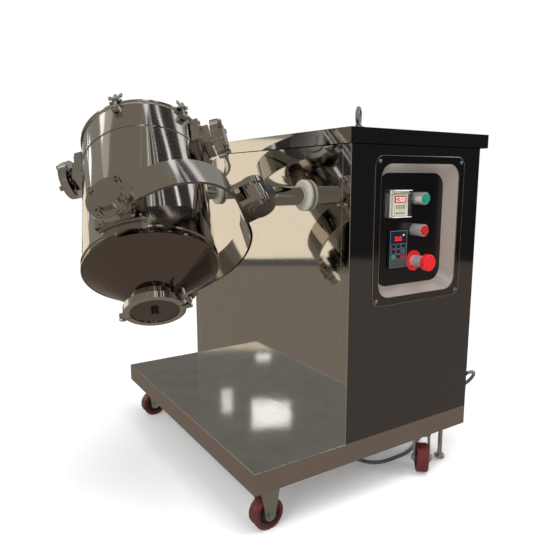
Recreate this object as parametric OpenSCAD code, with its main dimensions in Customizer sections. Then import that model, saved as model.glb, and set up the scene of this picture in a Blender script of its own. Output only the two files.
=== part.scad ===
// Swing mixer with an inverting barrel. A drum hangs between two band yokes, and each yoke is
// pinned to a horizontal shaft that comes out of a polished steel cabinet on casters.
// Both shafts, both yokes and the drum form one closed chain of six pivots at right angles,
// so the drum turns, rolls and tips at the same time. All lengths are in millimetres.

/* [Cabinet] */
// Cabinet size from the barrel side to the rear
cabinet_w = 421; // [400:1:450]
// Cabinet length along the barrel side
cabinet_l = 824; // [790:1:880]
// Height of the machine from the floor to the top cover
machine_h = 880; // [860:1:920]
// How far the platform runs out in front of the barrel side
platform_w = 245; // [230:1:280]
// Height of the platform's skirt
skirt_h = 51; // [45:1:60]
// Thickness of the polished sheet
sheet_t = 2; // [1.5:0.5:3]
// Overhang of the top cover past the panels
top_overhang = 13; // [8:1:20]
// Height of the top cover's rim
top_rim_h = 33; // [25:1:45]
// Width of the side panels' folded strip on the barrel side
corner_strip = 28; // [20:1:40]
// Width of the side panels' folded strip at the rear
rear_strip = 80; // [66:1:100]
// Thickness of the rear service cover
cover_t = 1.5; // [1:0.5:2.5]
// Overlap of the rear cover on the folded strips
cover_lap = 18; // [14:1:30]
// Gap from the rear cover to the top and the bottom of the cabinet
cover_end_gap = 22; // [15:1:40]
// Length of one ventilation louvre
louvre_l = 120; // [80:5:160]
// Height of one louvre's mouth
louvre_h = 6; // [4:1:8]
// Spacing of the louvres
louvre_pitch = 18; // [14:1:24]
// Louvres in one column
louvre_count = 6; // [3:1:8]

/* [Frame] */
// Width of the chassis channel
channel_w = 40; // [30:1:50]
// Wall of the chassis channel
channel_t = 3; // [2:0.5:4]
// Leg of the corner angles
angle_leg = 30; // [25:1:40]
// Thickness of the corner angles
angle_t = 3; // [2:0.5:5]
// Thickness of the top flat bar
top_bar_t = 6; // [4:1:10]
// Hole in the lifting eye
lift_hole_d = 25; // [20:1:30]
// Bar of the lifting eye
lift_bar_d = 9; // [7:0.5:12]
// Height of the lifting eye's foot
lift_foot_h = 8; // [5:1:12]
// Distance of a lifting eye from the cabinet's two edges
lift_inset = 38; // [30:1:60]
// Direction that the lifting eyes face
lift_turn = 40; // [0:1:90]

/* [Casters and feet] */
// Height of a caster from the floor to the chassis
caster_h = 110; // [105:1:125]
// Wheel diameter
wheel_d = 75; // [70:1:80]
// Wheel tread width
wheel_w = 30; // [24:1:36]
// Width of the wheel at its hub
wheel_hub_w = 35; // [32:1:40]
// Axle bolt diameter
axle_d = 10; // [8:1:12]
// Offset of a swivel wheel behind its pivot
trail = 24; // [20:1:28]
// Caster plate length
plate_l = 84; // [76:1:92]
// Caster plate width
plate_w = 62; // [56:1:70]
// Caster sheet thickness
plate_t = 3; // [2.5:0.5:4]
// Distance of the fixed casters from the platform's outer edge
fixed_inset = 52; // [46:1:70]
// Distance of the swivel pivots from the rear
swivel_inset = 121; // [115:1:135]
// Distance of the near casters from the control side
caster_side = 40; // [36:1:50]
// Distance of the far casters from the far side
caster_far_side = 64; // [60:1:90]
// Turn of the near swivel caster
near_swivel_turn = 229; // [0:1:359]
// Turn of the far swivel caster
far_swivel_turn = 200; // [0:1:359]
// Distance of the levelling feet from the rear
foot_inset = 44; // [36:1:46]
// Levelling screw diameter
foot_rod_d = 12; // [10:1:14]
// Levelling pad diameter
foot_pad_d = 28; // [24:1:30]
// Levelling pad height
foot_pad_h = 10; // [8:1:14]
// Height of the raised pads above the floor
foot_lift = 5; // [3:1:15]

/* [Linkage] */
// Length of each yoke from its fork pin to the trunnion line, and of the drum between them
arm = 267; // [264:1:272]
// Turn of the drive shaft in the standing pose
drive_angle = 42.5; // [40:0.5:45]
// Distance of the fork pins from the barrel-side panel
pivot_out = 137.5; // [134:0.5:142]
// Height of the two shafts above the floor
shaft_z = 733; // [725:1:745]
// Distance of the drive shaft from the control side
drive_y = 166; // [160:1:172]
// Shaft diameter
shaft_d = 45; // [42:1:46]
// Length of the shafts inside the cabinet
shaft_in = 215; // [205:1:225]
// Fork pin diameter
pin_d = 24; // [20:1:26]
// Width of the shaft's eye between the fork's ears
eye_w = 38; // [34:1:40]
// Diameter of the shaft's eye
eye_d = 56; // [50:1:60]
// Thickness of each ear of the fork
ear_t = 14; // [10:1:16]
// Width of each ear
ear_w = 65; // [60:1:66]
// Width of the band
band_w = 66; // [60:1:72]
// Thickness of the band
band_t = 6; // [5:1:8]
// Distance between the outer faces of the band's arms
band_span = 396; // [392:1:402]
// Outer radius of the band's bends
bend_r = 150; // [130:5:160]
// Distance from the fork pin to the band
band_root = 41; // [39:1:46]
// Diameter of the hub housing on each arm
hub_d = 96; // [90:1:100]
// Thickness of the hub housing
hub_t = 14; // [12:1:16]
// Diameter of the hub's cap
cap_d = 62; // [61:1:66]
// Thickness of the hub's cover flange
cover_flange_t = 6; // [4:1:8]
// Height of the cap over the flange
cap_h = 7; // [6:1:10]
// Bolt circle of the hub's cover
hub_pcd = 78; // [74:1:82]
// Hollow in the far yoke's hubs, which gives the open pivot its play
open_hub_d = 57; // [54:1:58]

/* [Drum] */
// Outside diameter of the drum
drum_d = 292; // [284:1:296]
// Wall of the drum
drum_t = 3; // [2:0.5:4]
// Height of the drum's rim above the lower trunnion line
rim_z = 307; // [303:1:312]
// Height of the rolled bead above the lower trunnion line
bead_z = 236; // [180:1:240]
// How far the bead stands out
bead_out = 2; // [1:0.5:3]
// Start of the bottom ring below the lower trunnion line
ring_top = 38; // [37:1:42]
// End of the bottom ring below the lower trunnion line
ring_bottom = 59; // [56:1:64]
// How far the bottom ring stands out
ring_out = 3; // [2:0.5:4]
// Depth of the discharge cone
cone_h = 68; // [60:1:76]
// Outside diameter of the neck
neck_d = 101.6; // [95:0.1:105]
// Length of the neck
neck_h = 22; // [18:1:30]
// Diameter of the ferrule and the cap
ferrule_d = 119; // [114:1:122]
// Thickness of the ferrule's and the cap's rims
ferrule_t = 4; // [3:0.5:5]
// Thickness of the outlet gasket
outlet_gasket_t = 2; // [1.5:0.5:3]
// Diameter of the clamp ring
clamp_d = 132; // [128:1:138]
// Diameter of the loading mouth
mouth_d = 236; // [220:1:240]
// Diameter of the lid's flange
lid_d = 300; // [296:1:306]
// Thickness of the lid's flange
lid_t = 5; // [4:1:8]
// Diameter of the lid's raised crown
crown_d = 252; // [240:1:256]
// Height of the lid's crown over its flange
crown_h = 36; // [30:1:44]
// Thickness of the lid gasket
lid_gasket_t = 3; // [2:0.5:4]
// Diameter of the lid's swing bolts
swing_d = 8; // [6:1:10]
// Angle from one of a pair of swing bolts to the other
swing_pair = 60; // [50:1:62]
// Width of the trunnion pads
pad_w = 104; // [90:1:110]
// Height of the trunnion pads
pad_h = 66; // [60:1:70]
// Thickness of the trunnion pads over the drum
pad_t = 14; // [10:1:18]
// Side of the square trunnion block
block_w = 58; // [50:1:64]
// Distance of the block's face from the drum's axis
block_face = 178; // [174:1:179]
// Trunnion diameter
trunnion_d = 24; // [22:1:26]

/* [Control tray] */
// Width of the tray's frame
tray_w = 295; // [280:1:310]
// Height of the tray's frame
tray_h = 344; // [320:1:360]
// Distance of the tray's frame from the barrel side
tray_x = 68; // [60:1:80]
// Height of the tray's frame above the floor
tray_z = 480; // [470:1:490]
// Depth of the tray's floor behind the panel
tray_depth = 30; // [26:1:34]
// Margin from the frame's edge to the recess
tray_margin = 18; // [14:1:24]
// How far the tray's walls slope inward
tray_slope = 20; // [14:1:26]
// Corner radius of the tray's frame
tray_corner = 24; // [18:1:30]
// Dished corner radius of the recess
recess_corner = 34; // [26:1:40]
// Distance of the timer and the keypad from the barrel side
left_column = 173; // [168:1:180]
// Distance from the timer's column to the buttons' column
column_pitch = 56; // [55:1:62]
// Height of the timer and the start button above the floor
timer_z = 711; // [700:1:730]
// Height of the start button above the floor
start_z = 726; // [715:1:735]
// Height of the stop button above the floor
stop_z = 650; // [640:1:660]
// Height of the emergency stop above the floor
estop_z = 574; // [566:1:584]
// Height of the keypad's middle above the floor
keypad_z = 606; // [596:1:616]
// Timer front, side of the square
timer_side = 48; // [48:1:50]
// Timer cover width and height
timer_cover_side = 58; // [56:1:62]
// Depth of the timer cover
timer_cover_depth = 14; // [12:1:18]
// Depth of the timer behind the tray
timer_back = 62; // [50:1:66]
// Keypad width
keypad_w = 59; // [54:1:60]
// Keypad height
keypad_h = 92; // [86:1:98]
// Diameter of a button's bezel
bezel_d = 29.5; // [28:0.5:31]
// Diameter of a button's cap
button_d = 23; // [22:0.5:25]
// How far the buttons stand in front of the tray's floor
button_reach = 37; // [30:1:40]
// Travel of a button
button_travel = 4; // [3:0.5:5]
// Diameter of the emergency stop's head
estop_d = 40; // [38:1:42]
// Diameter of the emergency stop's collar
estop_collar_d = 50; // [46:1:52]
// How far the emergency stop's head stands in front of the tray's floor
estop_reach = 56; // [50:1:60]
// Travel of the emergency stop
estop_travel = 6; // [4:0.5:6]

/* [Drive] */
// Thickness of the bearing beam's plates
beam_t = 8; // [6:1:10]
// Height of the bearing beam
beam_h = 186; // [176:1:190]
// Distance of the front bearing plate from the panel
beam_x = 12; // [10:1:14]
// Distance between the two bearing plates
beam_gap = 128; // [120:1:134]
// Side of a bearing's square flange
bearing_side = 92; // [86:1:96]
// Thickness of a bearing's flange
bearing_flange_t = 12; // [10:1:14]
// Depth of a bearing housing
bearing_depth = 28; // [24:1:30]
// Diameter of the seal ring on the panel
seal_d = 75; // [70:1:80]
// Thickness of the seal ring
seal_t = 12; // [10:1:16]
// Gearbox size along the shaft
gearbox_w = 106; // [100:1:112]
// Gearbox size across the shaft
gearbox_side = 100; // [96:1:104]
// Gearbox height
gearbox_h = 120; // [112:1:120]
// Motor diameter
motor_d = 128; // [116:2:130]
// Motor length
motor_l = 200; // [180:5:220]
// Diameter of the gearbox's output shaft
output_d = 28; // [25:1:30]

/* [Power lead] */
// Diameter of the lead
lead_d = 10; // [8:0.5:11]
// Height of the cable gland above the floor
gland_z = 236; // [200:1:260]
// Distance of the cable gland from the control side
gland_side = 30; // [26:1:36]
// Turns in the stored coil
coil_turns = 4; // [3:1:5]
// Diameter of the coil at the middle of its turns
coil_d = 110; // [90:1:140]

/* [Hidden] */
$fn = 48;
// Cut overrun, running fit, seat gap, side play and the least air between moving pieces
overrun = 1;
fit = 0.05;
seat = 0.1;
play = 0.5;
air = 0.3;

// Heights and faces that many pieces share
deck_z = caster_h + skirt_h;
panel_top = machine_h - sheet_t;
frame_h = skirt_h - sheet_t;
tray_floor = tray_depth;
right_column = left_column + column_pitch;
eye_half = eye_w/2 + play;
ear_out = eye_half + ear_t;
drum_r = drum_d/2;
hub_proud = 2;
hub_out = band_span/2 + hub_proud;
hub_in = hub_out - hub_t;
hub_cover_d = hub_d - hub_proud;
far_y = drive_y + sqrt(3)*arm;
axle_z = wheel_d/2;
front_caster_x = fixed_inset - platform_w;
rear_caster_x = cabinet_w - swivel_inset;
caster_rows = [caster_side, cabinet_l - caster_far_side];
foot_x = cabinet_w - foot_inset;

// Closed-form pose of the six-pivot chain from the drive shaft's turn
half_root3 = sqrt(3)/2;
swing = pow(half_root3*sin(drive_angle), 2);
fold_1 = asin(-half_root3*sin(drive_angle));
tumble = -acos((swing - 1/2)/(1 - swing));
driven_angle = atan2(-2*cos(drive_angle), -sin(drive_angle));
fold_2 = asin(half_root3*sin(driven_angle));

// Middle of the machine's box, which is the origin of the finished part
lower_x = -pivot_out - arm*cos(fold_1);
drum_lean = -cos(tumble)*cos(fold_1);
cover_reach = hub_out + cover_flange_t;
hub_edge_x = lower_x + cover_reach*sin(fold_1) - hub_cover_d/2*cos(fold_1);
ring_r = drum_r + ring_out;
ring_edge_x = lower_x - ring_bottom*drum_lean - ring_r*sqrt(1 - pow(drum_lean, 2));
mid_x = (min(hub_edge_x, ring_edge_x) + cabinet_w + top_overhang)/2;
mid_y = (tray_floor - estop_reach + cabinet_l + top_overhang)/2;

// Frames of the machine, the shafts, the yokes and the drum
module machine() translate([-mid_x, -mid_y, 0]) children();
module shaft_frame(y, turn)
    translate([-pivot_out, y, shaft_z]) rotate([turn - 90, 0, 0]) rotate([0, 0, 180]) children();
module near_frame() shaft_frame(drive_y, drive_angle) rotate([0, 0, fold_1]) children();
module far_frame() shaft_frame(far_y, driven_angle) rotate([0, 0, fold_2]) children();
module drum_frame() near_frame() translate([arm, 0, 0]) rotate([0, tumble + 90, 0]) children();

// A box from its lowest corner to its highest
module span_box(low, high) translate(low) cube(high - low);
// Turns a solid that rises along Z so that it runs into the control panel, along +Y
module into_panel() rotate([-90, 0, 0]) children();
// Mirrored copies of what stands on one side of the XZ plane
module both_sides() {
    children();
    mirror([0, 1, 0]) children();
}
// Copies for the near and the far end of the cabinet
module both_ends() {
    children();
    translate([0, cabinet_l, 0]) mirror([0, 1, 0]) children();
}
module ring(outer, inner, high) difference() {
    cylinder(r = outer, h = high);
    translate([0, 0, -overrun]) cylinder(r = inner, h = high + 2*overrun);
}
module rounded_plate(wide, high, corner, thick) linear_extrude(thick) {
    square([wide - 2*corner, high], center = true);
    square([wide, high - 2*corner], center = true);
    for (x = [-1, 1], y = [-1, 1])
        translate([x*(wide/2 - corner), y*(high/2 - corner)]) circle(corner);
}

// Chassis of channels with corner plates, uprights, top bars and rear rails
chassis_x = [-platform_w + sheet_t + seat, cabinet_w - sheet_t - seat];
chassis_y = sheet_t + seat;
gusset_x_share = 0.6;
bush_h = 24;
bush_wall = 5;
module channel(run) difference() {
    cube([run, channel_w, frame_h]);
    translate([-overrun, channel_t, channel_t])
        cube([run + 2*overrun, channel_w, frame_h - 2*channel_t]);
}
module corner_plate(x, low_x, high_x) span_box([low_x, chassis_y, caster_h],
    [high_x, chassis_y + caster_side + plate_w/2, caster_h + channel_t]);
module chassis_end() {
    translate([chassis_x[0], chassis_y, caster_h]) channel(chassis_x[1] - chassis_x[0]);
    corner_plate(front_caster_x, chassis_x[0], front_caster_x + plate_l*gusset_x_share);
    corner_plate(rear_caster_x, rear_caster_x - plate_l*gusset_x_share, chassis_x[1]);
}
module chassis_cross(x, turn) translate([x, cabinet_l/2, caster_h]) rotate([0, 0, turn])
    translate([-cabinet_l/2 + chassis_y + channel_w, 0, 0])
        channel(cabinet_l - 2*chassis_y - 2*channel_w);
module upright(x, dir) {
    low = deck_z;
    high = panel_top - top_bar_t;
    translate([x, sheet_t, low]) mirror([dir < 0 ? 1 : 0, 0, 0]) {
        cube([angle_t, angle_leg, high - low]);
        cube([angle_leg, angle_t, high - low]);
    }
}
module foot_bush() difference() {
    cylinder(r = foot_rod_d/2 + bush_wall, h = bush_h);
    translate([0, 0, -overrun]) cylinder(r = foot_rod_d/2 + fit, h = bush_h + 2*overrun);
}
module base_frame() machine() color("dimgray") difference() {
    union() {
        both_ends() chassis_end();
        chassis_cross(chassis_x[0], -90);
        chassis_cross(channel_w/2, 90);
        chassis_cross(chassis_x[1], 90);
        both_ends() {
            upright(sheet_t, 1);
            upright(cabinet_w - sheet_t, -1);
            span_box([sheet_t, sheet_t, panel_top - top_bar_t],
                [cabinet_w - sheet_t, sheet_t + angle_leg, panel_top]);
        }
        for (x = [sheet_t, cabinet_w - sheet_t - angle_leg])
            span_box([x, sheet_t + angle_leg, panel_top - top_bar_t],
                [x + angle_leg, cabinet_l - sheet_t - angle_leg, panel_top]);
        for (z = [deck_z, panel_top - top_bar_t - cover_end_gap - cover_lap])
            span_box([cabinet_w - sheet_t - angle_t, sheet_t + angle_leg, z],
                [cabinet_w - sheet_t, cabinet_l - sheet_t - angle_leg,
                    z + cover_end_gap + cover_lap]);
        for (y = caster_rows) translate([foot_x, y, caster_h + channel_t]) foot_bush();
    }
    for (y = caster_rows) translate([foot_x, y, caster_h - overrun])
        cylinder(r = foot_rod_d/2 + fit, h = channel_t + 2*overrun);
    lift_places() translate([0, 0, panel_top - top_bar_t - overrun])
        cylinder(r = lift_shank_d/2 + fit, h = top_bar_t + 2*overrun);
    gland_hole();
}
module gland_hole() translate([cabinet_w - gland_back - overrun, gland_side, gland_z])
    rotate([0, 90, 0]) cylinder(r = gland_thread_d/2 + fit, h = gland_back + 2*overrun);

// Polished platform: one deck sheet with a folded skirt round the chassis
module base_deck() machine() color("silver") difference() {
    span_box([-platform_w, 0, caster_h], [cabinet_w, cabinet_l, deck_z]);
    span_box([sheet_t - platform_w, sheet_t, caster_h - overrun],
        [cabinet_w - sheet_t, cabinet_l - sheet_t, deck_z - sheet_t]);
}

// Panels: a flat barrel side between two side panels with folded strips
seal_hole_d = shaft_d + 8*play;
module barrel_side_panel() machine() color("silver") difference() {
    span_box([0, corner_strip + seat, deck_z],
        [sheet_t, cabinet_l - corner_strip - seat, panel_top]);
    for (y = [drive_y, far_y]) translate([-overrun, y, shaft_z]) rotate([0, 90, 0])
        cylinder(d = seal_hole_d, h = sheet_t + 2*overrun);
}
module side_panel() {
    span_box([0, 0, deck_z], [cabinet_w, sheet_t, panel_top]);
    span_box([0, 0, deck_z], [sheet_t, corner_strip, panel_top]);
    difference() {
        span_box([cabinet_w - sheet_t, 0, deck_z], [cabinet_w, rear_strip, panel_top]);
        for (z = cover_screw_heights) translate([cabinet_w, cover_screw_y, z])
            rotate([0, 90, 0]) screw_hole();
    }
}
module control_side_panel() machine() color([0.13, 0.13, 0.15]) difference() {
    side_panel();
    translate([tray_mid_x, -overrun, tray_mid_z]) into_panel()
        rounded_plate(mouth_w + 2*sheet_t + 2*seat, mouth_h + 2*sheet_t + 2*seat,
            recess_corner + sheet_t, sheet_t + 2*overrun);
    tray_screw_places() screw_hole();
    gland_hole();
}
module far_side_panel() machine() color([0.5, 0.5, 0.5])
    translate([0, cabinet_l, 0]) mirror([0, 1, 0]) side_panel();

// Rear service cover with pressed louvres, and the screws of the cover and the tray
screw_d = 5;
screw_head_d = 9;
screw_head_h = 2.6;
screw_l = 9;
louvre_t = 1.2;
cover_screws = 4;
cover_screw_y = rear_strip - cover_lap/2;
cover_low = deck_z + cover_end_gap;
cover_high = panel_top - top_bar_t - cover_end_gap;
cover_screw_heights = [for (i = [0 : cover_screws - 1])
    cover_low + cover_lap*1.5 + i*(cover_high - cover_low - 3*cover_lap)/(cover_screws - 1)];
module screw_hole() translate([0, 0, -screw_l - overrun])
    cylinder(d = screw_d + 2*fit, h = screw_l + cover_t + 3*overrun);
module dome_screw() {
    translate([0, 0, -screw_l]) cylinder(d = screw_d, h = screw_l);
    intersection() {
        cylinder(d = screw_head_d, h = screw_head_h);
        translate([0, 0, screw_head_h - screw_head_d*0.8])
            sphere(r = screw_head_d*0.8);
    }
}
module louvre() difference() {
    into_panel() cylinder(r = louvre_h, h = louvre_l);
    into_panel() translate([0, 0, louvre_t])
        cylinder(r = louvre_h - louvre_t, h = louvre_l - 2*louvre_t);
    translate([-2*louvre_h, -overrun, -2*louvre_h])
        cube([4*louvre_h, louvre_l + 2*overrun, 2*louvre_h]);
    translate([-2*louvre_h, -overrun, -louvre_h]) cube([2*louvre_h, louvre_l + 2*overrun,
        3*louvre_h]);
}
module louvre_places() for (side = [0, 1], i = [0 : louvre_count - 1])
    translate([cabinet_w + cover_t, cabinet_l*(0.3 + 0.4*side) - louvre_l/2,
        shaft_z - (i + 1)*louvre_pitch]) children();
module rear_cover() machine() color("silver") {
    difference() {
        span_box([cabinet_w, rear_strip - cover_lap, cover_low],
            [cabinet_w + cover_t, cabinet_l - rear_strip + cover_lap, cover_high]);
        louvre_places() translate([-cover_t - overrun, louvre_t, 0])
            cube([cover_t + 2*overrun, louvre_l - 2*louvre_t, louvre_h - louvre_t]);
        both_ends() for (z = cover_screw_heights) translate([cabinet_w, cover_screw_y, z])
            rotate([0, 90, 0]) screw_hole();
    }
    louvre_places() louvre();
}
module panel_screws() machine() color("lightgray") {
    both_ends() for (z = cover_screw_heights)
        translate([cabinet_w + cover_t, cover_screw_y, z]) rotate([0, 90, 0]) dome_screw();
    tray_screw_places() translate([0, 0, sheet_t]) dome_screw();
}

// Top cover, a shallow lid over the panels, and two lifting eyes on opposite corners
lift_shank_d = 10;
lift_shank_l = 20;
lift_nut_w = 17;
lift_nut_h = 8;
lift_side = 24;
module lift_places() {
    translate([lift_inset, lift_side, 0]) children();
    translate([cabinet_w - lift_inset, cabinet_l - lift_side, 0]) children();
}
module top_cover() machine() color([0.2, 0.2, 0.22]) difference() {
    span_box([-top_overhang, -top_overhang, machine_h - top_rim_h],
        [cabinet_w + top_overhang, cabinet_l + top_overhang, machine_h]);
    span_box([sheet_t - top_overhang, sheet_t - top_overhang, machine_h - top_rim_h - overrun],
        [cabinet_w + top_overhang - sheet_t, cabinet_l + top_overhang - sheet_t, panel_top]);
    lift_places() translate([0, 0, panel_top - overrun])
        cylinder(r = lift_shank_d/2 + fit, h = sheet_t + 2*overrun);
}
module lifting_eye() {
    ring_mid_r = (lift_hole_d + lift_bar_d)/2;
    translate([0, 0, lift_foot_h/2 + ring_mid_r + lift_bar_d/2]) rotate([90, 0, lift_turn])
        rotate_extrude() translate([ring_mid_r, 0]) circle(d = lift_bar_d);
    cylinder(d = lift_hole_d, h = lift_foot_h/2);
    cylinder(d = lift_bar_d*1.6, h = lift_foot_h);
    translate([0, 0, -lift_shank_l]) cylinder(d = lift_shank_d, h = lift_shank_l + seat);
    translate([0, 0, -sheet_t - top_bar_t - lift_nut_h]) difference() {
        cylinder(d = lift_nut_w, h = lift_nut_h, $fn = 6);
        translate([0, 0, -overrun])
            cylinder(d = lift_shank_d + 2*fit, h = lift_nut_h + 2*overrun);
    }
}
module eyebolts() machine() color("silver") lift_places() translate([0, 0, machine_h])
    lifting_eye();

// Control tray: a deep-drawn dish behind a screwed frame, let into the control side
tray_mid_x = tray_x + tray_w/2;
tray_mid_z = tray_z + tray_h/2;
mouth_w = tray_w - 2*tray_margin;
mouth_h = tray_h - 2*tray_margin;
tray_screw_in = 13;
module tray_screw_places() for (x = [-1, 1], z = [-1, 1])
    translate([tray_mid_x + x*(tray_w/2 - tray_screw_in), 0,
        tray_mid_z + z*(tray_h/2 - tray_screw_in)]) rotate([90, 0, 0]) children();
module dish(grow) hull() {
    for (x = [-1, 1], z = [-1, 1]) translate([x*(mouth_w/2 - recess_corner), 0,
        z*(mouth_h/2 - recess_corner)]) into_panel() cylinder(r = recess_corner + grow, h = grow,
            $fn = 32);
    for (x = [-1, 1], z = [-1, 1]) translate([x*(mouth_w/2 - tray_slope - recess_corner),
        tray_floor + sheet_t, z*(mouth_h/2 - tray_slope - recess_corner)])
            mirror([0, 1, 0]) into_panel() cylinder(r = recess_corner + grow,
                h = 2*sheet_t - grow, $fn = 32);
}
module panel_hole(x, z, d) translate([x, tray_floor - overrun, z]) into_panel()
    cylinder(d = d, h = sheet_t + 2*overrun);
module control_tray() machine() color([0.28, 0.27, 0.27]) difference() {
    union() {
        translate([tray_mid_x, -sheet_t, tray_mid_z]) into_panel()
            rounded_plate(tray_w, tray_h, tray_corner, sheet_t);
        translate([tray_mid_x, 0, tray_mid_z]) dish(sheet_t);
    }
    translate([tray_mid_x, -overrun, tray_mid_z]) dish_air();
    tray_screw_places() screw_hole();
    for (z = [start_z, stop_z]) panel_hole(right_column, z, button_thread_d + 2*fit);
    panel_hole(right_column, estop_z, button_thread_d + 2*fit);
    translate([left_column - timer_body/2, tray_floor - overrun, timer_z - timer_body/2])
        cube([timer_body, sheet_t + 2*overrun, timer_body]);
    translate([left_column - keypad_w/2 + keypad_lip, tray_floor - overrun,
        keypad_z - keypad_h/2 + keypad_lip])
        cube([keypad_w - 2*keypad_lip, sheet_t + 2*overrun, keypad_h - 2*keypad_lip]);
}
module dish_air() hull() {
    for (x = [-1, 1], z = [-1, 1]) translate([x*(mouth_w/2 - recess_corner), -sheet_t,
        z*(mouth_h/2 - recess_corner)]) into_panel() cylinder(r = recess_corner,
            h = sheet_t + overrun, $fn = 32);
    for (x = [-1, 1], z = [-1, 1]) translate([x*(mouth_w/2 - tray_slope - recess_corner), 0,
        z*(mouth_h/2 - tray_slope - recess_corner)]) into_panel()
            cylinder(r = recess_corner, h = tray_floor + overrun, $fn = 32);
}

// Digital timer with a hinged clear cover
timer_body = timer_side - 3;
timer_proud = 6;
timer_frame_t = 2;
timer_pin_d = 3;
timer_barrel_d = 6;
timer_lug_w = 4;
timer_wall = 1.5;
timer_hinge_y = tray_floor - timer_frame_t - timer_barrel_d/2 - air;
timer_hinge_z = timer_z + timer_cover_side/2 + timer_barrel_d/2 + air;
timer_cover_y = tray_floor - timer_frame_t - air;
timer_barrel_l = timer_cover_side*0.7;
module timer() machine() color([0.85, 0.82, 0.72]) {
    span_box([left_column - timer_side/2, tray_floor - timer_proud, timer_z - timer_side/2],
        [left_column + timer_side/2, tray_floor, timer_z + timer_side/2]);
    span_box([left_column - timer_body/2 + seat, tray_floor - seat,
        timer_z - timer_body/2 + seat], [left_column + timer_body/2 - seat,
        tray_floor + timer_back, timer_z + timer_body/2 - seat]);
    span_box([left_column - timer_cover_side/2, tray_floor - timer_frame_t,
        timer_z - timer_cover_side/2], [left_column + timer_cover_side/2, tray_floor,
        timer_hinge_z + timer_barrel_d/2]);
    for (side = [-1, 1]) translate([left_column + side*(timer_barrel_l/2 + air + timer_lug_w/2),
        timer_hinge_y, timer_hinge_z]) rotate([0, 90, 0]) {
            translate([0, 0, -timer_lug_w/2]) cylinder(d = timer_barrel_d, h = timer_lug_w);
            translate([-timer_barrel_d/2, 0, -timer_lug_w/2])
                cube([timer_barrel_d, tray_floor - timer_hinge_y, timer_lug_w]);
    }
    translate([left_column - timer_barrel_l/2 - air - timer_lug_w/2, timer_hinge_y,
        timer_hinge_z]) rotate([0, 90, 0])
            cylinder(d = timer_pin_d, h = timer_barrel_l + 2*air + timer_lug_w);
}
module timer_cover() machine() color([0.8, 0.85, 0.85, 0.4]) difference() {
    union() {
        span_box([left_column - timer_cover_side/2, timer_cover_y - timer_cover_depth,
            timer_z - timer_cover_side/2], [left_column + timer_cover_side/2, timer_cover_y,
            timer_z + timer_cover_side/2]);
        translate([left_column - timer_barrel_l/2, timer_hinge_y, timer_hinge_z])
            rotate([0, 90, 0]) cylinder(d = timer_barrel_d, h = timer_barrel_l);
        span_box([left_column - timer_barrel_l/2, timer_hinge_y - timer_barrel_d/2,
            timer_z + timer_cover_side/2 - timer_wall], [left_column + timer_barrel_l/2,
            timer_hinge_y - timer_pin_d/2 - timer_wall/2, timer_hinge_z]);
    }
    span_box([left_column - timer_cover_side/2 + timer_wall,
        timer_cover_y - timer_cover_depth + timer_wall,
        timer_z - timer_cover_side/2 + timer_wall],
        [left_column + timer_cover_side/2 - timer_wall, timer_cover_y + overrun,
        timer_z + timer_cover_side/2 - timer_wall]);
    translate([left_column - timer_barrel_l/2 - overrun, timer_hinge_y, timer_hinge_z])
        rotate([0, 90, 0])
            cylinder(r = timer_pin_d/2 + fit, h = timer_barrel_l + 2*overrun);
}

// Membrane keypad of the speed controller, and the controller behind it
keypad_lip = 3;
keypad_proud = 5;
keypad_corner = 3;
inverter_depth = 64;
module keypad() machine() color([0.1, 0.12, 0.2]) {
    translate([left_column, tray_floor - keypad_proud, keypad_z]) into_panel()
        rounded_plate(keypad_w, keypad_h, keypad_corner, keypad_proud);
    span_box([left_column - keypad_w/2 + keypad_lip + seat, tray_floor - seat,
        keypad_z - keypad_h/2 + keypad_lip + seat], [left_column + keypad_w/2 - keypad_lip - seat,
        tray_floor + sheet_t, keypad_z + keypad_h/2 - keypad_lip - seat]);
}
module inverter() machine() color([0.25, 0.27, 0.3]) {
    wide = keypad_w - 4*keypad_lip;
    high = keypad_h - 2*keypad_lip;
    fins = 6;
    translate([left_column, tray_floor + sheet_t, keypad_z]) into_panel()
        rounded_plate(wide, high, keypad_corner, inverter_depth*0.7);
    for (i = [0 : fins]) span_box([left_column - wide/2 + i*(wide - keypad_lip)/fins,
        tray_floor + sheet_t + inverter_depth*0.6, keypad_z - high/2 + keypad_corner],
        [left_column - wide/2 + i*(wide - keypad_lip)/fins + keypad_lip,
        tray_floor + sheet_t + inverter_depth, keypad_z + high/2 - keypad_corner]);
}

// Buttons: chrome bezels with their caps, and the emergency stop
button_thread_d = 22;
button_stem_d = 8;
button_back = 20;
button_cap_l = 12;
bezel_front = button_reach - button_travel - overrun;
estop_head_h = 14;
estop_tube_d = 28;
estop_stem_d = 16;
estop_collar_t = 3;
estop_front = estop_reach - estop_head_h - estop_travel - overrun;
module button_place(z) translate([right_column, tray_floor, z]) rotate([90, 0, 0]) children();
module bezel(outer, front, bore, bore_l) difference() {
    union() {
        cylinder(d = outer, h = front);
        translate([0, 0, -button_back]) cylinder(d = button_thread_d, h = button_back + seat);
        translate([0, 0, -sheet_t - button_thread_d/4])
            cylinder(d = outer, h = button_thread_d/4);
    }
    translate([0, 0, -button_back - overrun])
        cylinder(r = button_stem_d/2 + fit, h = front + button_back + 2*overrun);
    translate([0, 0, front - bore_l]) cylinder(r = bore/2 + fit, h = bore_l + overrun);
}
module button_bezels() machine() color("silver") {
    for (z = [start_z, stop_z]) button_place(z)
        bezel(bezel_d, bezel_front, button_d, button_cap_l);
    button_place(estop_z) difference() {
        union() {
            translate([0, 0, estop_collar_t])
                cylinder(d = estop_tube_d, h = estop_front - estop_collar_t);
            translate([0, 0, -button_back])
                cylinder(d = button_thread_d, h = button_back + estop_collar_t + seat);
        }
        translate([0, 0, -button_back - overrun]) cylinder(r = button_stem_d/2 + fit,
            h = button_back + estop_front + 2*overrun);
        translate([0, 0, estop_collar_t]) cylinder(r = estop_stem_d/2 + fit, h = estop_front);
    }
}
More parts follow.
